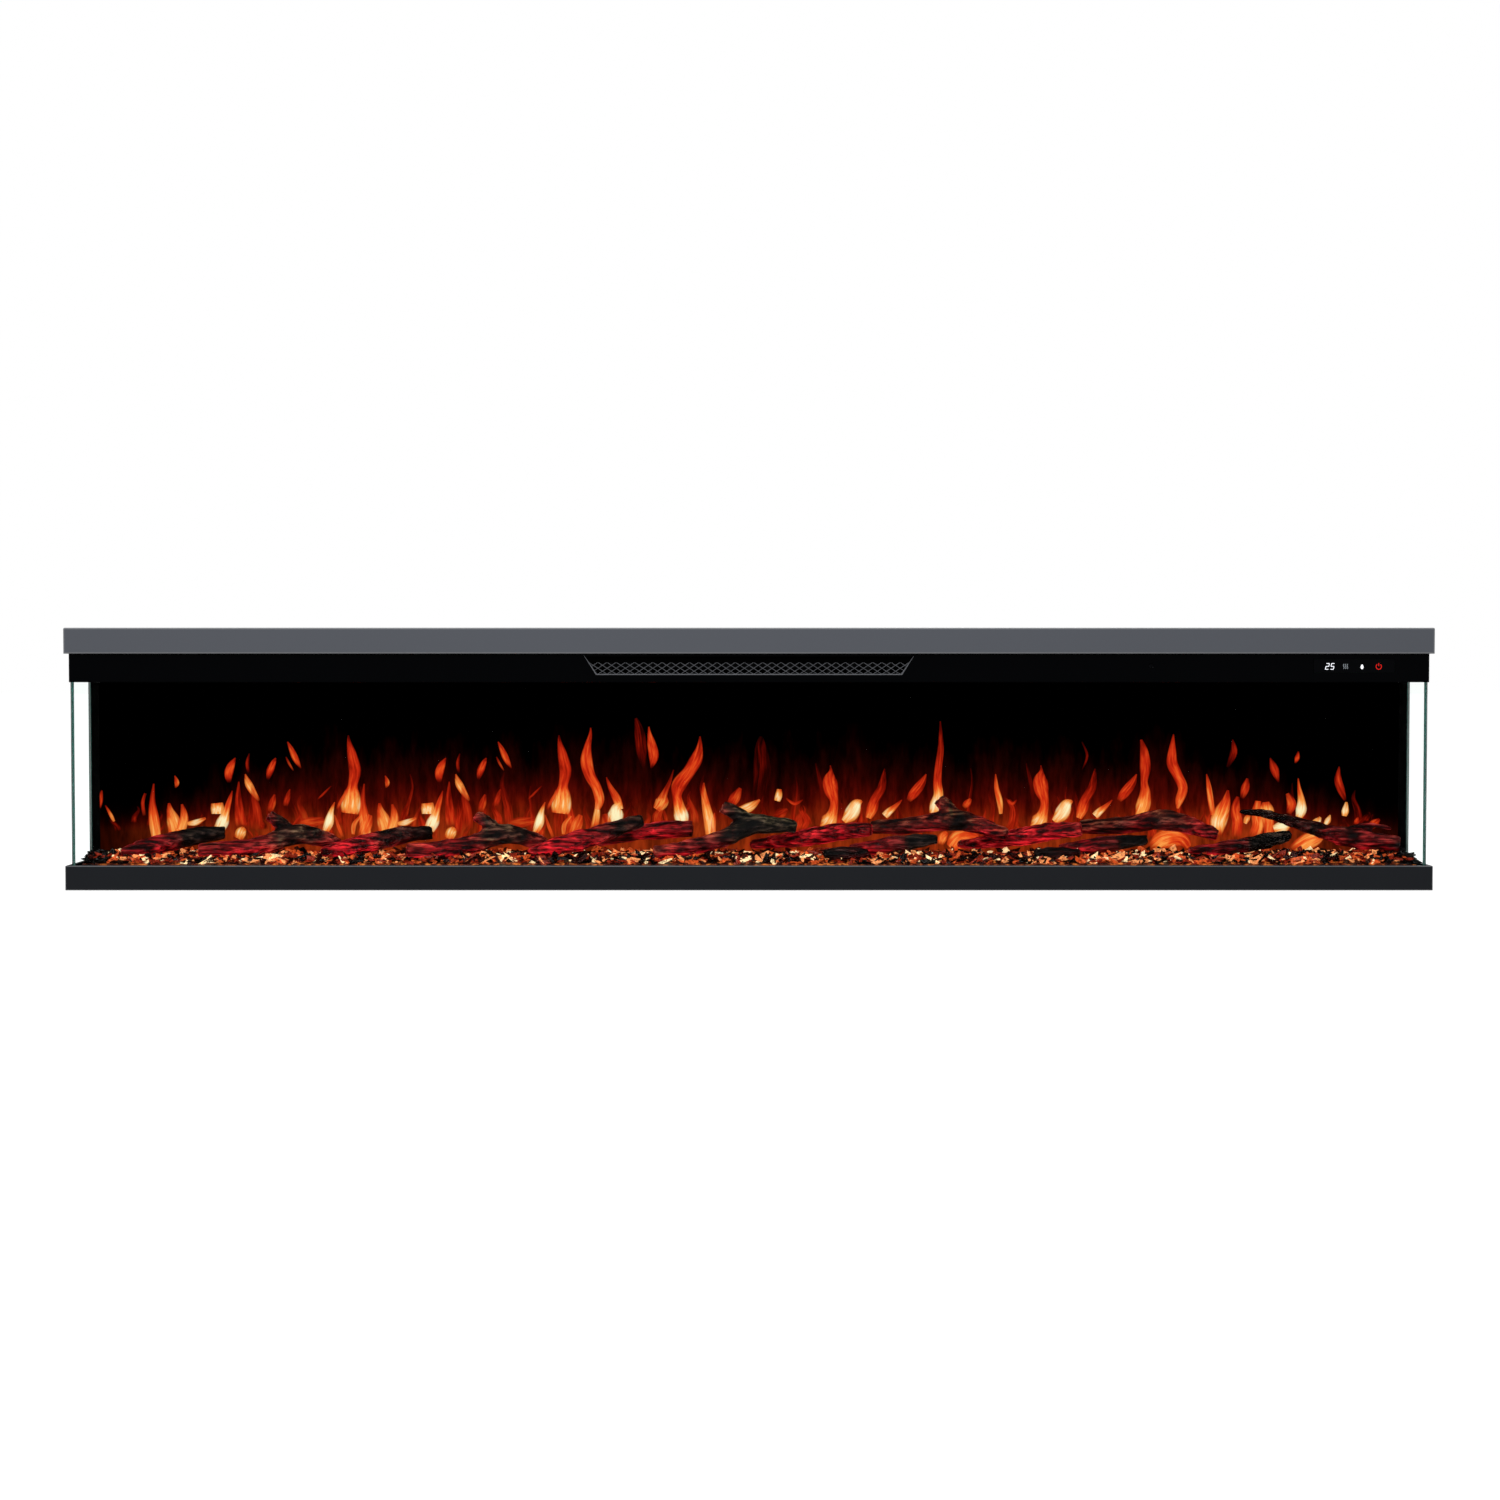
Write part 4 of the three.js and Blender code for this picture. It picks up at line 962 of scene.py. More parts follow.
# %% The flames of the middle
MIDDLE = [
    [(-290, 112, 6, 0.5, 0.7), (-284, 134, 6, 0.72, 0.85), (-282, 156, 4, 0.8, 0.9),
     (-284, 172, 2, 0.5, 0.6)],
    [(-282, 150, 4, 0.6, 0.7), (-278, 168, 8, 0.62, 0.95), (-284, 192, 8, 0.5, 1.0),
     (-296, 214, 9, 0.45, 1.0), (-302, 240, 10, 0.5, 1.0), (-300, 266, 6, 0.42, 0.95),
     (-295, 288, 3, 0.35, 0.8), (-294, 302, 1, 0.3, 0.5)],
    [(-240, 150, 6, 0.9, 0.9), (-246, 170, 7, 0.55, 0.9), (-258, 192, 4, 0.45, 0.8),
     (-265, 210, 1, 0.35, 0.5)],
    [(-252, 126, 10, 0.85, 0.9), (-248, 140, 13, 1.0, 1.0), (-246, 154, 8, 0.9, 0.95),
     (-238, 162, 2, 0.6, 0.6)],
    [(-262, 104, 10, 0.45, 0.6), (-264, 122, 10, 0.5, 0.6), (-268, 142, 4, 0.4, 0.5)],
    [(-196, 226, 2, 0.08, 0.4), (-200, 262, 9, 0.16, 0.7), (-204, 296, 8, 0.14, 0.6),
     (-210, 320, 2, 0.08, 0.3)],
    [(-182, 226, 1, 0.3, 0.6), (-177, 248, 8, 0.42, 0.95), (-181, 272, 7, 0.48, 0.95),
     (-185, 292, 3, 0.42, 0.8), (-186, 304, 1, 0.35, 0.5)],
    [(-172, 150, 7, 0.6, 0.8), (-162, 164, 11, 0.66, 0.9), (-158, 178, 6, 0.5, 0.7),
     (-148, 200, 3, 0.3, 0.6), (-140, 224, 1, 0.2, 0.4)],
    [(-168, 118, 9, 0.35, 0.6), (-170, 136, 9, 0.4, 0.6), (-164, 150, 4, 0.35, 0.5)],
    [(-124, 122, 9, 0.85, 0.95), (-126, 138, 12, 0.98, 1.0), (-130, 156, 9, 0.66, 1.0),
     (-134, 176, 8, 0.42, 1.0), (-130, 196, 12, 0.4, 1.0), (-112, 220, 10, 0.42, 1.0),
     (-98, 244, 10, 0.42, 1.0), (-92, 266, 5, 0.36, 0.9), (-91, 286, 1, 0.3, 0.5)],
    [(-72, 104, 8, 0.72, 0.95), (-74, 128, 9, 0.8, 1.0), (-80, 158, 7, 0.7, 0.95),
     (-84, 184, 4, 0.55, 0.8), (-84, 200, 1, 0.45, 0.5)],
    [(-66, 108, 4, 0.6, 0.7), (-66, 128, 4, 0.7, 0.8), (-64, 144, 1, 0.5, 0.5)],
    [(-36, 158, 6, 0.36, 0.7), (-26, 172, 9, 0.45, 0.8), (-16, 190, 3, 0.3, 0.5)],
    [(-18, 150, 5, 0.7, 0.8), (0, 154, 8, 0.86, 0.95), (20, 168, 2, 0.55, 0.6)],
    [(18, 176, 10, 0.1, 0.3), (24, 220, 14, 0.12, 0.4), (22, 262, 10, 0.1, 0.35),
     (22, 286, 3, 0.06, 0.2)],
    [(52, 166, 5, 0.75, 0.9), (55, 176, 6, 0.8, 0.95), (56, 188, 4, 0.55, 0.7)],
    [(68, 172, 1, 0.35, 0.6), (84, 161, 3, 0.4, 0.8), (100, 168, 1, 0.35, 0.5)],
    [(46, 134, 5, 0.3, 0.5), (58, 142, 9, 0.36, 0.6), (72, 150, 3, 0.3, 0.4)],
    [(96, 108, 3, 0.3, 0.6), (106, 126, 6, 0.34, 0.7), (98, 148, 2, 0.3, 0.5)],
]

# %% [markdown]
# On the right a shorter group comes twice, by the same repeat. The rest stand alone, and the last
# two lists are the small flames at the far left end.

# %% The flames of the right
RIGHT_GROUP = [
    [(136, 116, 6, 0.6, 0.7), (148, 128, 13, 0.82, 0.95), (156, 146, 8, 0.6, 0.95),
     (158, 166, 7, 0.45, 1.0), (152, 188, 12, 0.45, 1.0), (150, 206, 11, 0.42, 0.95),
     (152, 222, 3, 0.35, 0.7), (151, 232, 1, 0.3, 0.4)],
    [(136, 164, 6, 0.1, 0.5), (132, 200, 4, 0.12, 0.5), (124, 236, 1, 0.08, 0.3)],
    [(176, 128, 5, 0.75, 0.9), (190, 142, 12, 0.92, 1.0), (200, 160, 9, 0.95, 1.0),
     (210, 166, 2, 0.6, 0.6)],
    [(222, 134, 5, 0.6, 0.85), (228, 150, 9, 0.5, 0.95), (234, 168, 8, 0.34, 0.9),
     (246, 190, 7, 0.22, 0.85), (250, 212, 4, 0.18, 0.75), (252, 226, 1, 0.14, 0.4)],
    [(252, 138, 6, 0.86, 0.95), (260, 146, 6, 0.8, 0.95), (272, 156, 4, 0.55, 0.8),
     (284, 168, 1, 0.4, 0.5)],
    [(296, 166, 4, 0.45, 0.8), (306, 180, 8, 0.42, 0.95), (320, 198, 7, 0.36, 0.9),
     (329, 216, 1, 0.25, 0.5)],
]
RIGHT = [
    [(344, 142, 8, 0.75, 0.95), (348, 158, 11, 0.92, 1.0), (352, 178, 8, 0.8, 1.0),
     (350, 202, 7, 0.42, 0.95), (352, 230, 6, 0.34, 0.9), (356, 262, 5, 0.28, 0.85),
     (356, 290, 3, 0.22, 0.7), (355, 314, 1, 0.18, 0.4)],
    [(398, 154, 4, 0.5, 0.7), (406, 162, 6, 0.5, 0.8), (412, 170, 2, 0.4, 0.5)],
    [(376, 78, 10, 0.55, 0.9), (388, 92, 16, 0.66, 1.0), (404, 98, 14, 0.6, 0.95),
     (420, 96, 8, 0.5, 0.9), (424, 84, 3, 0.45, 0.6)],
    [(356, 84, 5, 0.5, 0.8), (360, 98, 8, 0.6, 0.95), (368, 108, 4, 0.45, 0.7)],
    [(468, 142, 3, 0.7, 0.8), (466, 164, 5, 0.66, 0.95), (460, 190, 4, 0.6, 0.9),
     (458, 216, 1, 0.5, 0.5)],
    [(474, 102, 5, 0.3, 0.6), (490, 124, 8, 0.32, 0.7), (492, 150, 7, 0.3, 0.7),
     (482, 168, 3, 0.25, 0.4)],
    [(476, 172, 1, 0.35, 0.5), (488, 161, 3, 0.4, 0.8), (498, 168, 1, 0.3, 0.4)],
    [(618, 222, 1, 0.12, 0.4), (628, 250, 2, 0.16, 0.6), (618, 276, 1, 0.1, 0.3)],
    [(724, 136, 6, 0.7, 0.9), (732, 156, 12, 0.72, 1.0), (736, 180, 9, 0.5, 0.95),
     (734, 202, 6, 0.4, 0.9), (736, 228, 9, 0.36, 0.95), (734, 256, 7, 0.36, 0.9),
     (728, 280, 2, 0.3, 0.6)],
    [(796, 152, 2, 0.55, 0.7), (800, 168, 7, 0.6, 0.95), (806, 190, 8, 0.5, 1.0),
     (796, 214, 8, 0.46, 1.0), (786, 236, 9, 0.42, 1.0), (786, 262, 6, 0.38, 0.95),
     (788, 290, 1, 0.3, 0.5)],
    [(748, 78, 8, 0.5, 0.9), (766, 92, 15, 0.66, 1.0), (786, 98, 16, 0.6, 1.0),
     (806, 94, 12, 0.5, 0.95), (818, 80, 5, 0.45, 0.7)],
    [(862, 140, 4, 0.6, 0.8), (858, 166, 5, 0.66, 0.95), (854, 194, 4, 0.56, 0.9),
     (850, 216, 1, 0.45, 0.5)],
    [(888, 228, 2, 0.12, 0.5), (900, 256, 6, 0.2, 0.8), (898, 280, 1, 0.12, 0.4)],
    [(870, 102, 8, 0.5, 0.85), (872, 124, 13, 0.9, 1.0), (878, 144, 13, 0.66, 1.0),
     (886, 164, 8, 0.5, 0.95), (890, 186, 2, 0.4, 0.6)],
    [(906, 98, 9, 0.42, 0.9), (908, 126, 9, 0.5, 0.95), (904, 150, 8, 0.42, 0.9),
     (908, 174, 3, 0.3, 0.6)],
    [(916, 170, 3, 0.3, 0.6), (922, 190, 7, 0.36, 0.85), (926, 208, 2, 0.25, 0.5)],
    [(922, 124, 3, 0.7, 0.8), (926, 134, 5, 0.75, 0.9), (932, 142, 1, 0.5, 0.5)],
    [(938, 98, 10, 0.5, 0.9), (946, 120, 10, 0.62, 1.0), (944, 144, 9, 0.55, 0.95),
     (946, 166, 5, 0.45, 0.8)],
    [(966, 98, 8, 0.55, 0.9), (966, 124, 9, 0.6, 0.95), (962, 148, 12, 0.8, 1.0),
     (960, 164, 6, 0.5, 0.7)],
    [(984, 200, 1, 0.25, 0.5), (976, 224, 7, 0.38, 0.85), (968, 246, 1, 0.3, 0.4)],
    [(1014, 236, 1, 0.3, 0.6), (1018, 246, 4, 0.4, 0.9), (1020, 258, 1, 0.3, 0.5)],
    [(976, 112, 8, 0.8, 0.9), (992, 118, 10, 0.98, 1.0), (1006, 126, 5, 0.75, 0.8)],
    [(1002, 142, 4, 0.4, 0.7), (1008, 160, 8, 0.5, 0.9), (1000, 180, 3, 0.35, 0.5)],
    [(1022, 136, 6, 0.8, 0.9), (1026, 150, 9, 1.0, 1.0), (1026, 168, 6, 0.8, 0.95),
     (1022, 190, 3, 0.6, 0.8), (1020, 208, 1, 0.5, 0.5)],
    [(1046, 124, 4, 0.8, 0.8), (1056, 128, 6, 0.9, 0.95), (1062, 136, 2, 0.7, 0.6)],
    [(1070, 122, 3, 0.8, 0.8), (1076, 130, 5, 0.85, 0.9), (1080, 140, 1, 0.7, 0.6)],
    [(1108, 166, 2, 0.25, 0.6), (1100, 186, 6, 0.34, 0.85), (1094, 206, 6, 0.34, 0.85),
     (1096, 230, 1, 0.25, 0.4)],
    [(1106, 138, 4, 0.75, 0.9), (1108, 148, 6, 0.9, 1.0), (1110, 164, 2, 0.75, 0.7)],
    [(1126, 122, 3, 0.4, 0.7), (1130, 130, 4, 0.45, 0.8), (1132, 136, 1, 0.35, 0.5)],
    [(1150, 116, 4, 0.4, 0.7), (1162, 124, 7, 0.46, 0.85), (1172, 132, 2, 0.3, 0.5)],
    [(1010, 72, 10, 0.5, 0.9), (1034, 88, 14, 0.66, 1.0), (1054, 98, 12, 0.7, 0.95),
     (1068, 108, 5, 0.5, 0.7)],
    [(-1208, 152, 3, 0.3, 0.7), (-1206, 168, 5, 0.38, 0.8), (-1202, 186, 1, 0.2, 0.4)],
    [(-1180, 128, 2, 0.6, 0.7), (-1186, 140, 3, 0.7, 0.8), (-1196, 158, 1, 0.3, 0.4)],
]

# %% [markdown]
# Sheets that cross must not lie in one plane, or the render can't tell which is in front and
# shows grey scribbles. Every sheet therefore has a plane of its own, a small step before the last
# one's.

# %% Make the flames
PLANES = 45  # more than any list of flames needs; the wisps use them over and over
DULL = 0.55  # a flame whose foot is less warm than this fades in from its foot


def flames(name, lists, nearest=1.2, step=0.05):
    """One piece of flame sheets. nearest and step are in mm before the screen."""
    mesh_data = bmesh.new()
    layers = [mesh_data.verts.layers.float.new(key) for key in ("warmth", "veil")]
    layers.append(mesh_data.verts.layers.float_vector.new("grain"))
    for number, points in enumerate(lists):
        depth = screen_low.y - (nearest + step * (number % PLANES)) * MM
        foot_warmth = points[0][3]
        add_flame(mesh_data, layers, points, depth, foot_warmth < DULL, number)
    return finish_piece(name, mesh_data, flame_finish)


def shifted(lists, step):
    return [[(x + step, *rest) for x, *rest in points] for points in lists]


FLAME_PIECES = {
    "flames_far_left": GROUP,
    "flames_left": shifted(GROUP, REPEAT),
    "flames_middle": MIDDLE,
    "flames_centre_right": RIGHT_GROUP,
    "flames_right_of_centre": shifted(RIGHT_GROUP, REPEAT),
    "flames_right": RIGHT,
}
for name, lists in FLAME_PIECES.items():
    flames(name, lists)
print("flames:", sum(len(lists) for lists in FLAME_PIECES.values()))

# %% [markdown]
# Between the flames hang fainter wisps: dull red streaks that rise from behind the logs. They
# follow no pattern, so they are drawn from a fixed seed, most of them short and low, and duller
# still towards the two ends.

# %% Wisps
WISPS = 150
WISP_HALF = 1190  # mm from the middle to the last wisp
CROWDED_HALF = 900  # mm, past which they are lower and duller
dice = random.Random(23)
wisps = []
for _ in range(WISPS):
    x = dice.uniform(-WISP_HALF, WISP_HALF)
    thin_out = 1.0 if abs(x) < CROWDED_HALF else 0.55
    foot = dice.uniform(92, 128)
    rise = dice.uniform(28, 62) * thin_out + (dice.uniform(0, 70) if dice.random() < 0.25 else 0)
    sway = dice.uniform(-14, 14)
    half = dice.uniform(3, 9)
    glow = dice.uniform(0.16, 0.5) * thin_out
    strength = dice.uniform(0.35, 0.8)
    wisps.append([
        (x, foot, half, glow, strength),
        (x + sway * 0.2, foot + rise * 0.35, half * 0.8, glow * 0.85, strength),
        (x + sway, foot + rise * 0.75, half * 0.45, glow * 0.6, strength * 0.7),
        (x + sway * 0.7, foot + rise, 1, glow * 0.4, strength * 0.3),
    ])
flames("flame_wisps", wisps, nearest=0.25, step=0.02)
print("wisps:", len(wisps))

# %% [markdown]
# ## Flame screen
# The screen is smoked acrylic. It is black where no light falls on it, and the lamps behind
# spread a dull red haze up from the logs. The haze is emission in the acrylic's finish: amber low
# down, then red, and gone by the upper half. A broad noise changes how high it reaches, narrow
# upright streaks break it up, and it dies away at the two ends, as the light of the flame plate
# does. Only the front face has the haze: the edges and the back are plain smoked acrylic, and so
# are the two lenses in the black band.


# %% Smoked screen with its haze
HAZE_COLOURS = (  # from the bed upwards
    (0.0, "#84280a"), (0.12, "#7c2008"), (0.22, "#661404"), (0.32, "#500a02"), (0.42, "#3e0502"),
    (0.54, "#2a0301"), (0.68, "#1a0201"), (0.85, "#0a0000"), (1.0, "#000000"),
)
PATCH_SIZE, STREAK_SIZE = 42 * MM, 13 * MM


def screen_material():
    material, shader = start_material(
        "smoked_acrylic_screen", base_color="#000000", roughness=0.6, specular_ior_level=0.0
    )
    place = add_node(material, "TexCoord").outputs["Object"]
    axes = add_node(material, "SeparateXYZ", {}, Vector=place)
    out = add_node(material, "Math", {"operation": "ABSOLUTE"}, _0=axes.outputs["X"]).outputs["Value"]
    # Metres above the floor, then metres from the middle.
    haze_span = {"From Min": 0.10, "From Max": 0.28, "clamp": False}
    rise = add_node(material, "MapRange", haze_span, Value=axes.outputs["Z"]).outputs["Result"]
    lower = {"From Min": 0.8, "From Max": 1.2, "To Min": 1.0, "To Max": 0.35}
    ends = add_node(material, "MapRange", lower, Value=out).outputs["Result"]
    fades = {"From Min": 0.95, "From Max": 1.22, "To Min": 1.0, "To Max": 0.08}
    fading = add_node(material, "MapRange", fades, Value=out).outputs["Result"]

    upright = []  # two noises drawn out along Z: the patches, then the streaks
    for stretch, size, detail, span in (
        (0.3, PATCH_SIZE, 4, (0.35, 0.65, 0.75, 1.18)),
        (0.22, STREAK_SIZE, 3, (0.35, 0.68, 0.5, 1.45)),
    ):
        drawn = add_node(material, "Mapping", {"Scale": (1.0, 1.0, stretch)}, Vector=place)
        grain = {"Scale": 1 / size, "Detail": detail, "Roughness": 0.6}
        cloud = add_node(material, "TexNoise", grain, Vector=drawn.outputs["Vector"])
        limits = dict(zip(("From Min", "From Max", "To Min", "To Max"), span))
        mapped = add_node(material, "MapRange", limits, Value=cloud.outputs["Fac"])
        upright.append(mapped.outputs["Result"])
    patches, streaks = upright

    reach = add_node(material, "Math", {"operation": "MULTIPLY"}, _0=ends, _1=patches).outputs["Value"]
    height = add_node(material, "Math", {"operation": "DIVIDE"}, _0=rise, _1=reach).outputs["Value"]
    colour = add_node(material, "ValToRGB", {"stops": HAZE_COLOURS}, Fac=height).outputs["Color"]
    link(material, colour, shader.inputs["Emission Color"])
    power = add_node(material, "Math", {"operation": "MULTIPLY"}, _0=streaks, _1=fading)
    link(material, power.outputs["Value"], shader.inputs["Emission Strength"])
    return material


smoked = moulded("gloss_smoked_acrylic", "#030408", 0.22, 30, 0.01)
smoked.node_tree.nodes["Principled BSDF"].inputs["Specular IOR Level"].default_value = 0.2
screen_faces = refinish("flame_screen", screen_material(), smoked).polygons
for face in screen_faces:
    face.material_index = 0 if face.normal.y < -0.5 else 1
for name in ("display_lens", "receiver_lens"):
    refinish(name, smoked)
print("hazy faces of the screen:", sum(1 - face.material_index for face in screen_faces))

# %% [markdown]
# ## Display
# Touch marks are lit through the black band's window: a two-figure number, a heat mark, a flame
# and an on-off ring. They lie a tenth of a millimetre proud of the lens, because they are light
# on its face and have no body of their own.


# %% Light and bars of the marks
def lit(name, colour, strength):
    material, shader = start_material(
        name, base_color="#000000", roughness=0.5, emission_color=colour, emission_strength=strength
    )
    uneven = {**NOISE_SPAN, "To Min": 0.85 * strength, "To Max": strength}
    power = add_node(material, "MapRange", uneven, Value=speckle(material, 1.5))
    link(material, power.outputs["Result"], shader.inputs["Emission Strength"])
    return material


white_light = lit("white_led_light", "#f6f8ff", 1.5)
red_light = lit("red_led_light", "#e82018", 1.1)
dim_light = lit("dim_led_light", "#b4bcc4", 0.55)
lens_low, lens_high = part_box("display_lens")
FACE = lens_low.y - 0.12 * MM
MARK_Z = (lens_low.z + lens_high.z) / 2 - 0.8 * MM
print("marks on the lens: y = %.2f mm, z = %.1f mm" % (FACE / MM, MARK_Z / MM))


def mark_bar(mesh_data, start, end, width):
    """A thin bar of light between two (x, z) places on the lens."""
    bar(mesh_data, start, end, FACE, width, 0.2 * MM)


# %% [markdown]
# A numeral is made of thin bars, five of the seven segments of a digital display. The segments
# are named A to F clockwise from the top, with G across the middle, and their ends lie on a grid
# that leans to the right.

# %% The two numerals
SEGMENTS = {"2": "ABGED", "5": "AFGCD"}
SEGMENT_ENDS = {
    "A": ((0, 1), (1, 1)), "B": ((1, 1), (1, 0)), "C": ((1, 0), (1, -1)), "D": ((0, -1), (1, -1)),
    "E": ((0, 0), (0, -1)), "F": ((0, 1), (0, 0)), "G": ((0, 0), (1, 0)),
}
NUMERAL_TALL = 10.8 * MM
NUMERAL_SLANT = 0.18
NUMERAL_STROKE = 0.11  # of the height


def numeral(mesh_data, digit, x, z, height):
    half, wide = height / 2, height * 0.5
    for segment in SEGMENTS[digit]:
        start, end = [
            (x + u * wide + v * half * NUMERAL_SLANT, z + v * half) for u, v in SEGMENT_ENDS[segment]
        ]
        mark_bar(mesh_data, start, end, height * NUMERAL_STROKE)


digits = bmesh.new()
for digit, x in (("2", 1070.0), ("5", 1079.5)):
    numeral(digits, digit, x * MM, MARK_Z, NUMERAL_TALL)
finish_piece("display_numerals", digits, white_light)
print("numerals: %.1f mm tall" % (NUMERAL_TALL / MM))


# %% [markdown]
# The heat mark is three wavy lines, each of two arcs that bend opposite ways. The flame mark is a
# solid drop: a disc drawn up to a point. The on-off mark is a ring with a gap at its top and a
# bar in the gap.


# %% The heat mark, the flame mark and the on-off ring
HEAT_X, FLAME_X, POWER_X = 1106.5 * MM, 1137 * MM, 1168 * MM
HEAT_STROKE, POWER_STROKE = 1.1 * MM, 1.3 * MM


def arc(mesh_data, x, z, radius, start, end, width, steps):
    """Short bars along an arc from one angle to another, in degrees."""
    turns = [math.radians(start + (end - start) * k / steps) for k in range(steps + 1)]
    spots = [(x + radius * math.cos(a), z + radius * math.sin(a)) for a in turns]
    for first, second in zip(spots, spots[1:]):
        mark_bar(mesh_data, first, second, width)


heat_mark = bmesh.new()
for column in (-3.4 * MM, 0, 3.4 * MM):
    for side, start, end in ((1, 110, 250), (-1, -70, 70)):  # the upper arc, then the lower
        x, z = HEAT_X + column + side * 1.5 * MM, MARK_Z + side * 2.2 * MM
        arc(heat_mark, x, z, 2.3 * MM, start, end, HEAT_STROKE, 6)
finish_piece("display_heat_mark", heat_mark, dim_light)

flame_mark = bmesh.new()
for vert in bmesh.ops.create_circle(flame_mark, cap_ends=True, segments=24, radius=1.0)["verts"]:
    taper = 1 - 0.55 * max(0.0, vert.co.y)
    x, z = 2.8 * MM * vert.co.x * taper, 4.6 * MM * vert.co.y - 0.6 * MM
    vert.co = (FLAME_X + x, FACE, MARK_Z + z)
finish_piece("display_flame_mark", flame_mark, white_light)

power_mark = bmesh.new()
arc(power_mark, POWER_X, MARK_Z - 0.4 * MM, 5 * MM, 125, 415, POWER_STROKE, 20)
mark_bar(power_mark, (POWER_X, MARK_Z + 0.5 * MM), (POWER_X, MARK_Z + 6 * MM), POWER_STROKE)
finish_piece("display_power_mark", power_mark, red_light)
print("display marks: 4")

# %% [markdown]
# ## Edge beads
# A slim bright bead covers the joint between each side glass and its post. Seen from the front it
# is the thin light line at either end of the fire. It is a drawn strip with a rounded face: a
# block with its long edges bevelled.

# %% Beads
BEAD_WIDTH, BEAD_DEPTH, BEAD_ROUND = 2.4 * MM, 0.6 * MM, 0.25 * MM
bead_metal = plated_steel("drawn_aluminium_bead", "#8d9290", 0.35, 12)
side_glass_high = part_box("left_side_glass")[1]
bead_foot, bead_top = bed_low.z, side_glass_high.z - 1 * MM
for side, label in ((-1, "left"), (1, "right")):
    place = (side * (glass_high.x - 2.5 * MM), side_glass_high.y - 0.1 * MM, (bead_top + bead_foot) / 2)
    strip = bmesh.new()
    made = bmesh.ops.create_cube(strip, size=1.0)["verts"]
    bmesh.ops.scale(strip, verts=made, vec=(BEAD_WIDTH, BEAD_DEPTH, bead_top - bead_foot))
    bmesh.ops.translate(strip, verts=made, vec=place)
    tall = [e for e in strip.edges if abs(e.verts[0].co.z - e.verts[1].co.z) > 0.1]
    bmesh.ops.bevel(
        strip, geom=tall, offset=BEAD_ROUND, offset_type="OFFSET", affect="EDGES", segments=2,
        profile=0.5, material=-1,
    )
    finish_piece(label + "_edge_bead", strip, bead_metal)
print("beads: %.0f mm tall" % ((bead_top - bead_foot) / MM))

# %% [markdown]
# ## Screws
# Pan head screws hold the back and the ends of the case. A head is a low cone with a black cross
# on it, because a recess that small shows only as its shadow. One function makes a head at its
# place, and a row is one piece.


# %% Screw heads
HEAD_RADIUS = 3.8 * MM


def screw_head(mesh_data, place, direction):
    """A pan head with a black cross. It stands on its place and looks along the direction."""
    r = HEAD_RADIUS
    made = bmesh.ops.create_cone(
        mesh_data, cap_ends=True, segments=20, radius1=r, radius2=r * 0.72, depth=r * 0.5
    )["verts"]
    bmesh.ops.translate(mesh_data, verts=made, vec=(0, 0, r * 0.25))
    cross = []
    for turn in (0, math.pi / 2):
        arm = bmesh.ops.create_cube(mesh_data, size=1.0)["verts"]
        bmesh.ops.scale(mesh_data, verts=arm, vec=(r * 1.1, r * 0.2, r * 0.1))
        bmesh.ops.rotate(mesh_data, verts=arm, cent=(0, 0, 0), matrix=Matrix.Rotation(turn, 3, "Z"))
        bmesh.ops.translate(mesh_data, verts=arm, vec=(0, 0, r * 0.5))
        cross += arm
    # The cross takes the black plastic finish as painted shadow of the recess.
    for face in {f for v in cross for f in v.link_faces}:
        face.material_index = 1
    facing = Vector(direction).to_track_quat("Z", "Y").to_matrix().to_4x4()
    bmesh.ops.transform(mesh_data, matrix=Matrix.Translation(place) @ facing, verts=made + cross)


def screw_row(name, places, direction):
    row = bmesh.new()
    for place in places:
        screw_head(row, place, direction)
    return finish_piece(name, row, [screw_steel, black_plastic])


# Places are in mm. The ends have no screw low down at the back, a corner kept for the mains gland.
BACK_X = (-1235, -940, -630, -315, 0, 315, 630, 940, 1235)
END_PLACES = [(y, z) for y in (45, 100) for z in (70, 200, 330, 420) if (y, z) != (100, 70)]
for name, z in (("back_screws_low", 66), ("back_screws_high", 424)):
    screw_row(name, [(x * MM, case_high.y, z * MM) for x in BACK_X], (0, 1, 0))
for name, x, way in (("left_end_screws", case_low.x, -1), ("right_end_screws", case_high.x, 1)):
    screw_row(name, [(x, y * MM, z * MM) for y, z in END_PLACES], (way, 0, 0))
print("screws:", 2 * len(BACK_X) + 2 * len(END_PLACES))

# %% [markdown]
# ## Light and floor
# The fireplace stands on a plain white floor that goes on into white surroundings. Most of the
# light comes from them, and a high soft lamp in front leaves a shade under the top cover, as a
# ceiling light does.

# %% Floor
floor_mesh = bmesh.new()
bmesh.ops.create_grid(floor_mesh, x_segments=1, y_segments=1, size=30)
floor_data = bpy.data.meshes.new("studio_floor")
floor_mesh.to_mesh(floor_data)
floor_mesh.free()
floor = bpy.data.objects.new("studio_floor", floor_data)
bpy.context.scene.collection.objects.link(floor)
floor_white, _ = start_material(
    "white_studio_floor", base_color="#c8c8c8", roughness=0.9, emission_color="#ffffff",
    emission_strength=0.88,
)
floor.data.materials.append(floor_white)
floor.visible_glossy = False
floor.visible_diffuse = False
print("floor:", floor.name, "in", floor_white.name)

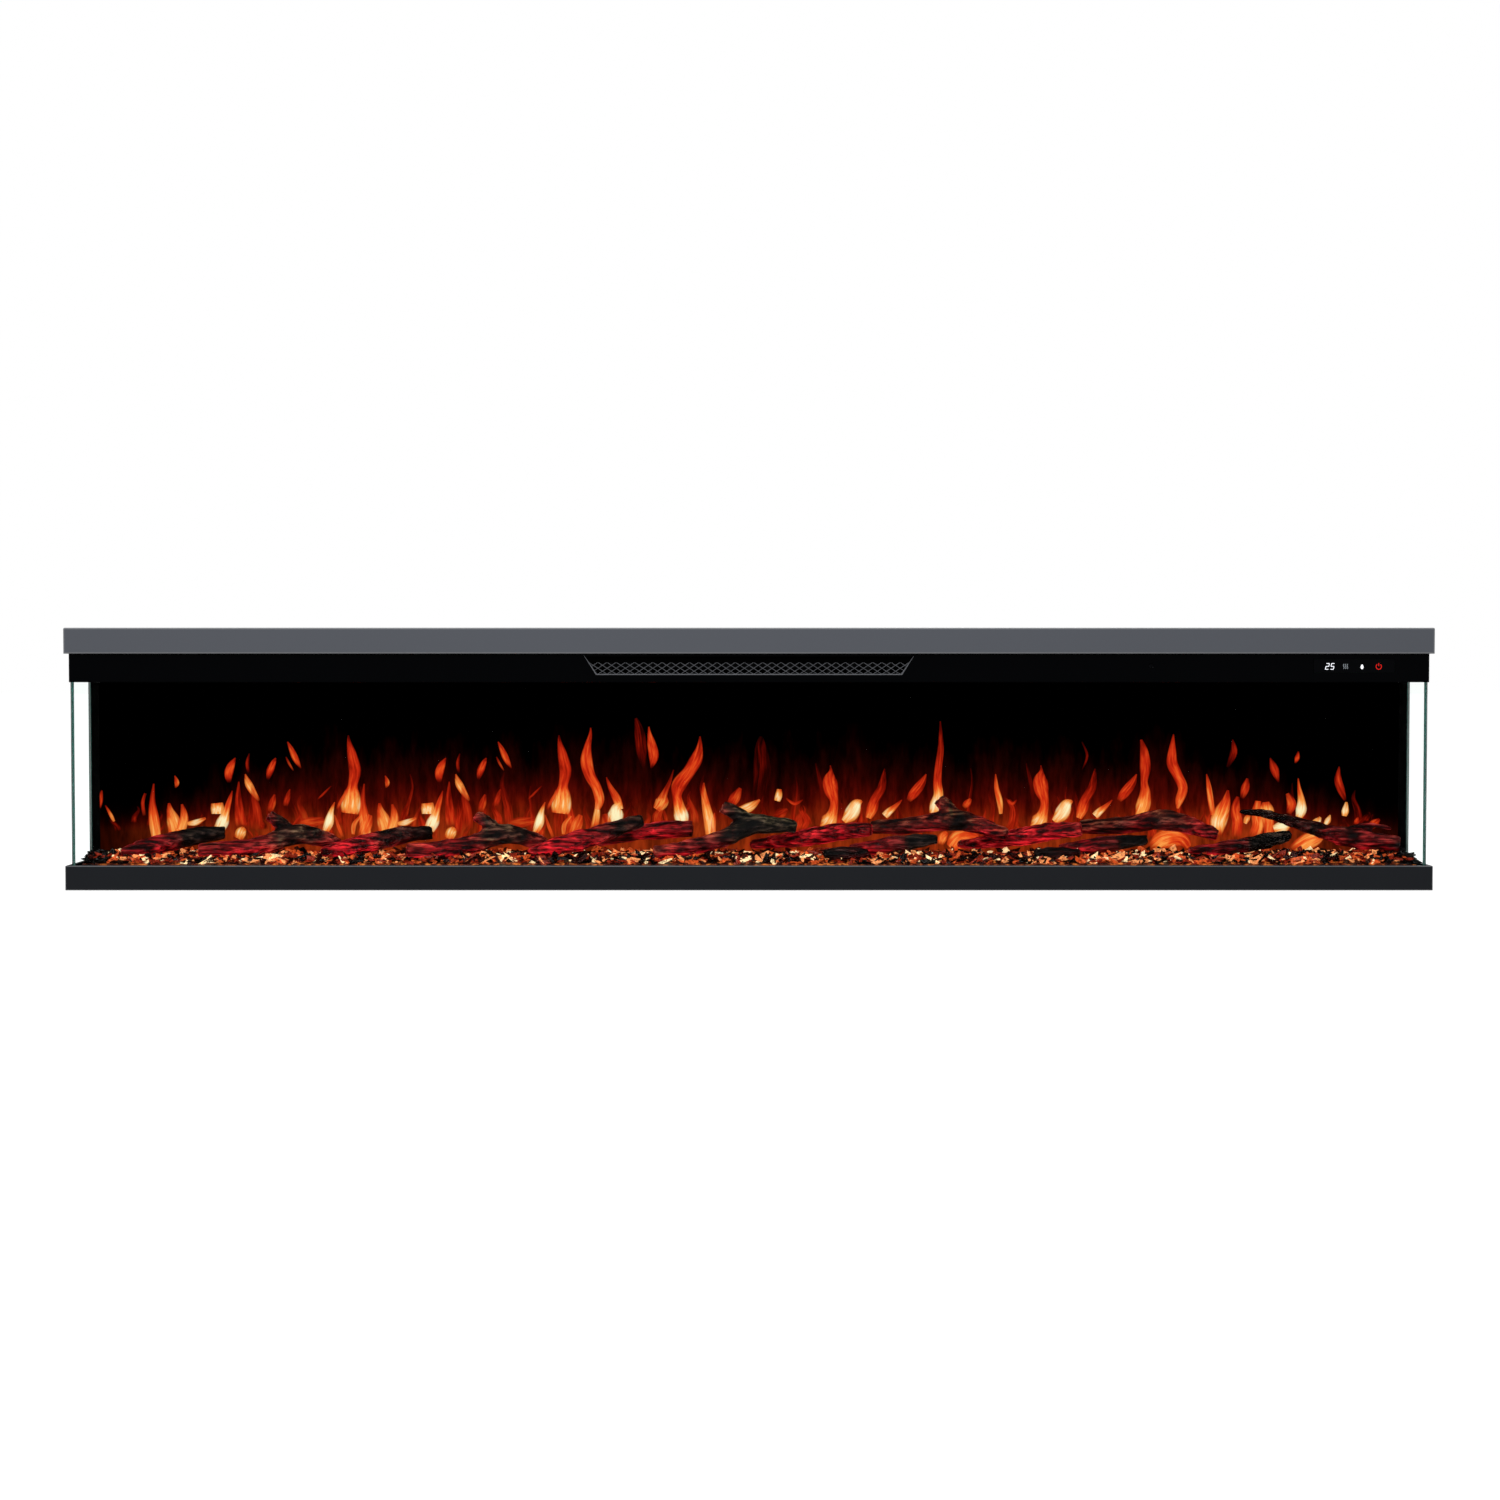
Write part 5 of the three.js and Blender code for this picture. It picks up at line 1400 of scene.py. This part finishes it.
# %% [markdown]
# The surroundings are seen directly, or through the glass, as white paper. As a source of light
# they are dimmer, so that the fire stays the brightest thing in its box. The Light Path node
# tells how often a ray has bounced: before its first bounce it sees the full white.

# %% Surroundings
SURROUND_LIGHT = 0.3  # of white, as a source of light
SURROUND_SHINE = 0.12  # of white, in a mirror image
world = bpy.data.worlds.new("studio")
bpy.context.scene.world = world
world.use_nodes = True
sky = world.node_tree
paper = sky.nodes["Background"]
paper.inputs["Color"].default_value = (1, 1, 1, 1)
rays = sky.nodes.new("ShaderNodeLightPath")


def dimmed(depth, level):
    """1 before the first bounce of a kind, and the level after it."""
    step = sky.nodes.new("ShaderNodeMapRange")
    step.inputs["To Min"].default_value = 1.0
    step.inputs["To Max"].default_value = level
    sky.links.new(rays.outputs[depth], step.inputs["Value"])
    return step.outputs["Result"]


both = sky.nodes.new("ShaderNodeMath")
both.operation = "MULTIPLY"
sky.links.new(dimmed("Diffuse Depth", SURROUND_LIGHT), both.inputs[0])
sky.links.new(dimmed("Glossy Depth", SURROUND_SHINE), both.inputs[1])
sky.links.new(both.outputs["Value"], paper.inputs["Strength"])
print("surroundings: %.2f as light, %.2f in a reflection" % (SURROUND_LIGHT, SURROUND_SHINE))

# %% [markdown]
# Three soft boxes do the rest: a broad one high in front, one overhead for the top cover, and one
# behind, so that the back of the case shows too.


# %% Lamps
def soft_lamp(name, place, target, width, height, power):
    """A rectangular lamp aimed at a target. Sizes are in metres, power in watts."""
    lamp = bpy.data.lights.new(name, "AREA")
    lamp.shape = "RECTANGLE"
    lamp.size, lamp.size_y, lamp.energy = width, height, power
    thing = bpy.data.objects.new(name, lamp)
    thing.location = place
    thing.rotation_euler = (Vector(target) - Vector(place)).to_track_quat("-Z", "Y").to_euler()
    bpy.context.scene.collection.objects.link(thing)


soft_lamp("front_softbox", (-0.6, -2.6, 3.0), (0, 0, 0.3), 3.0, 1.0, 34)
soft_lamp("top_softbox", (0, -0.3, 3.0), (0, 0, 0), 3.2, 1.6, 20)
soft_lamp("back_softbox", (1.5, 3.4, 2.2), (0, 0, 0.2), 2.4, 1.2, 20)
print("lamps:", len(bpy.data.lights))
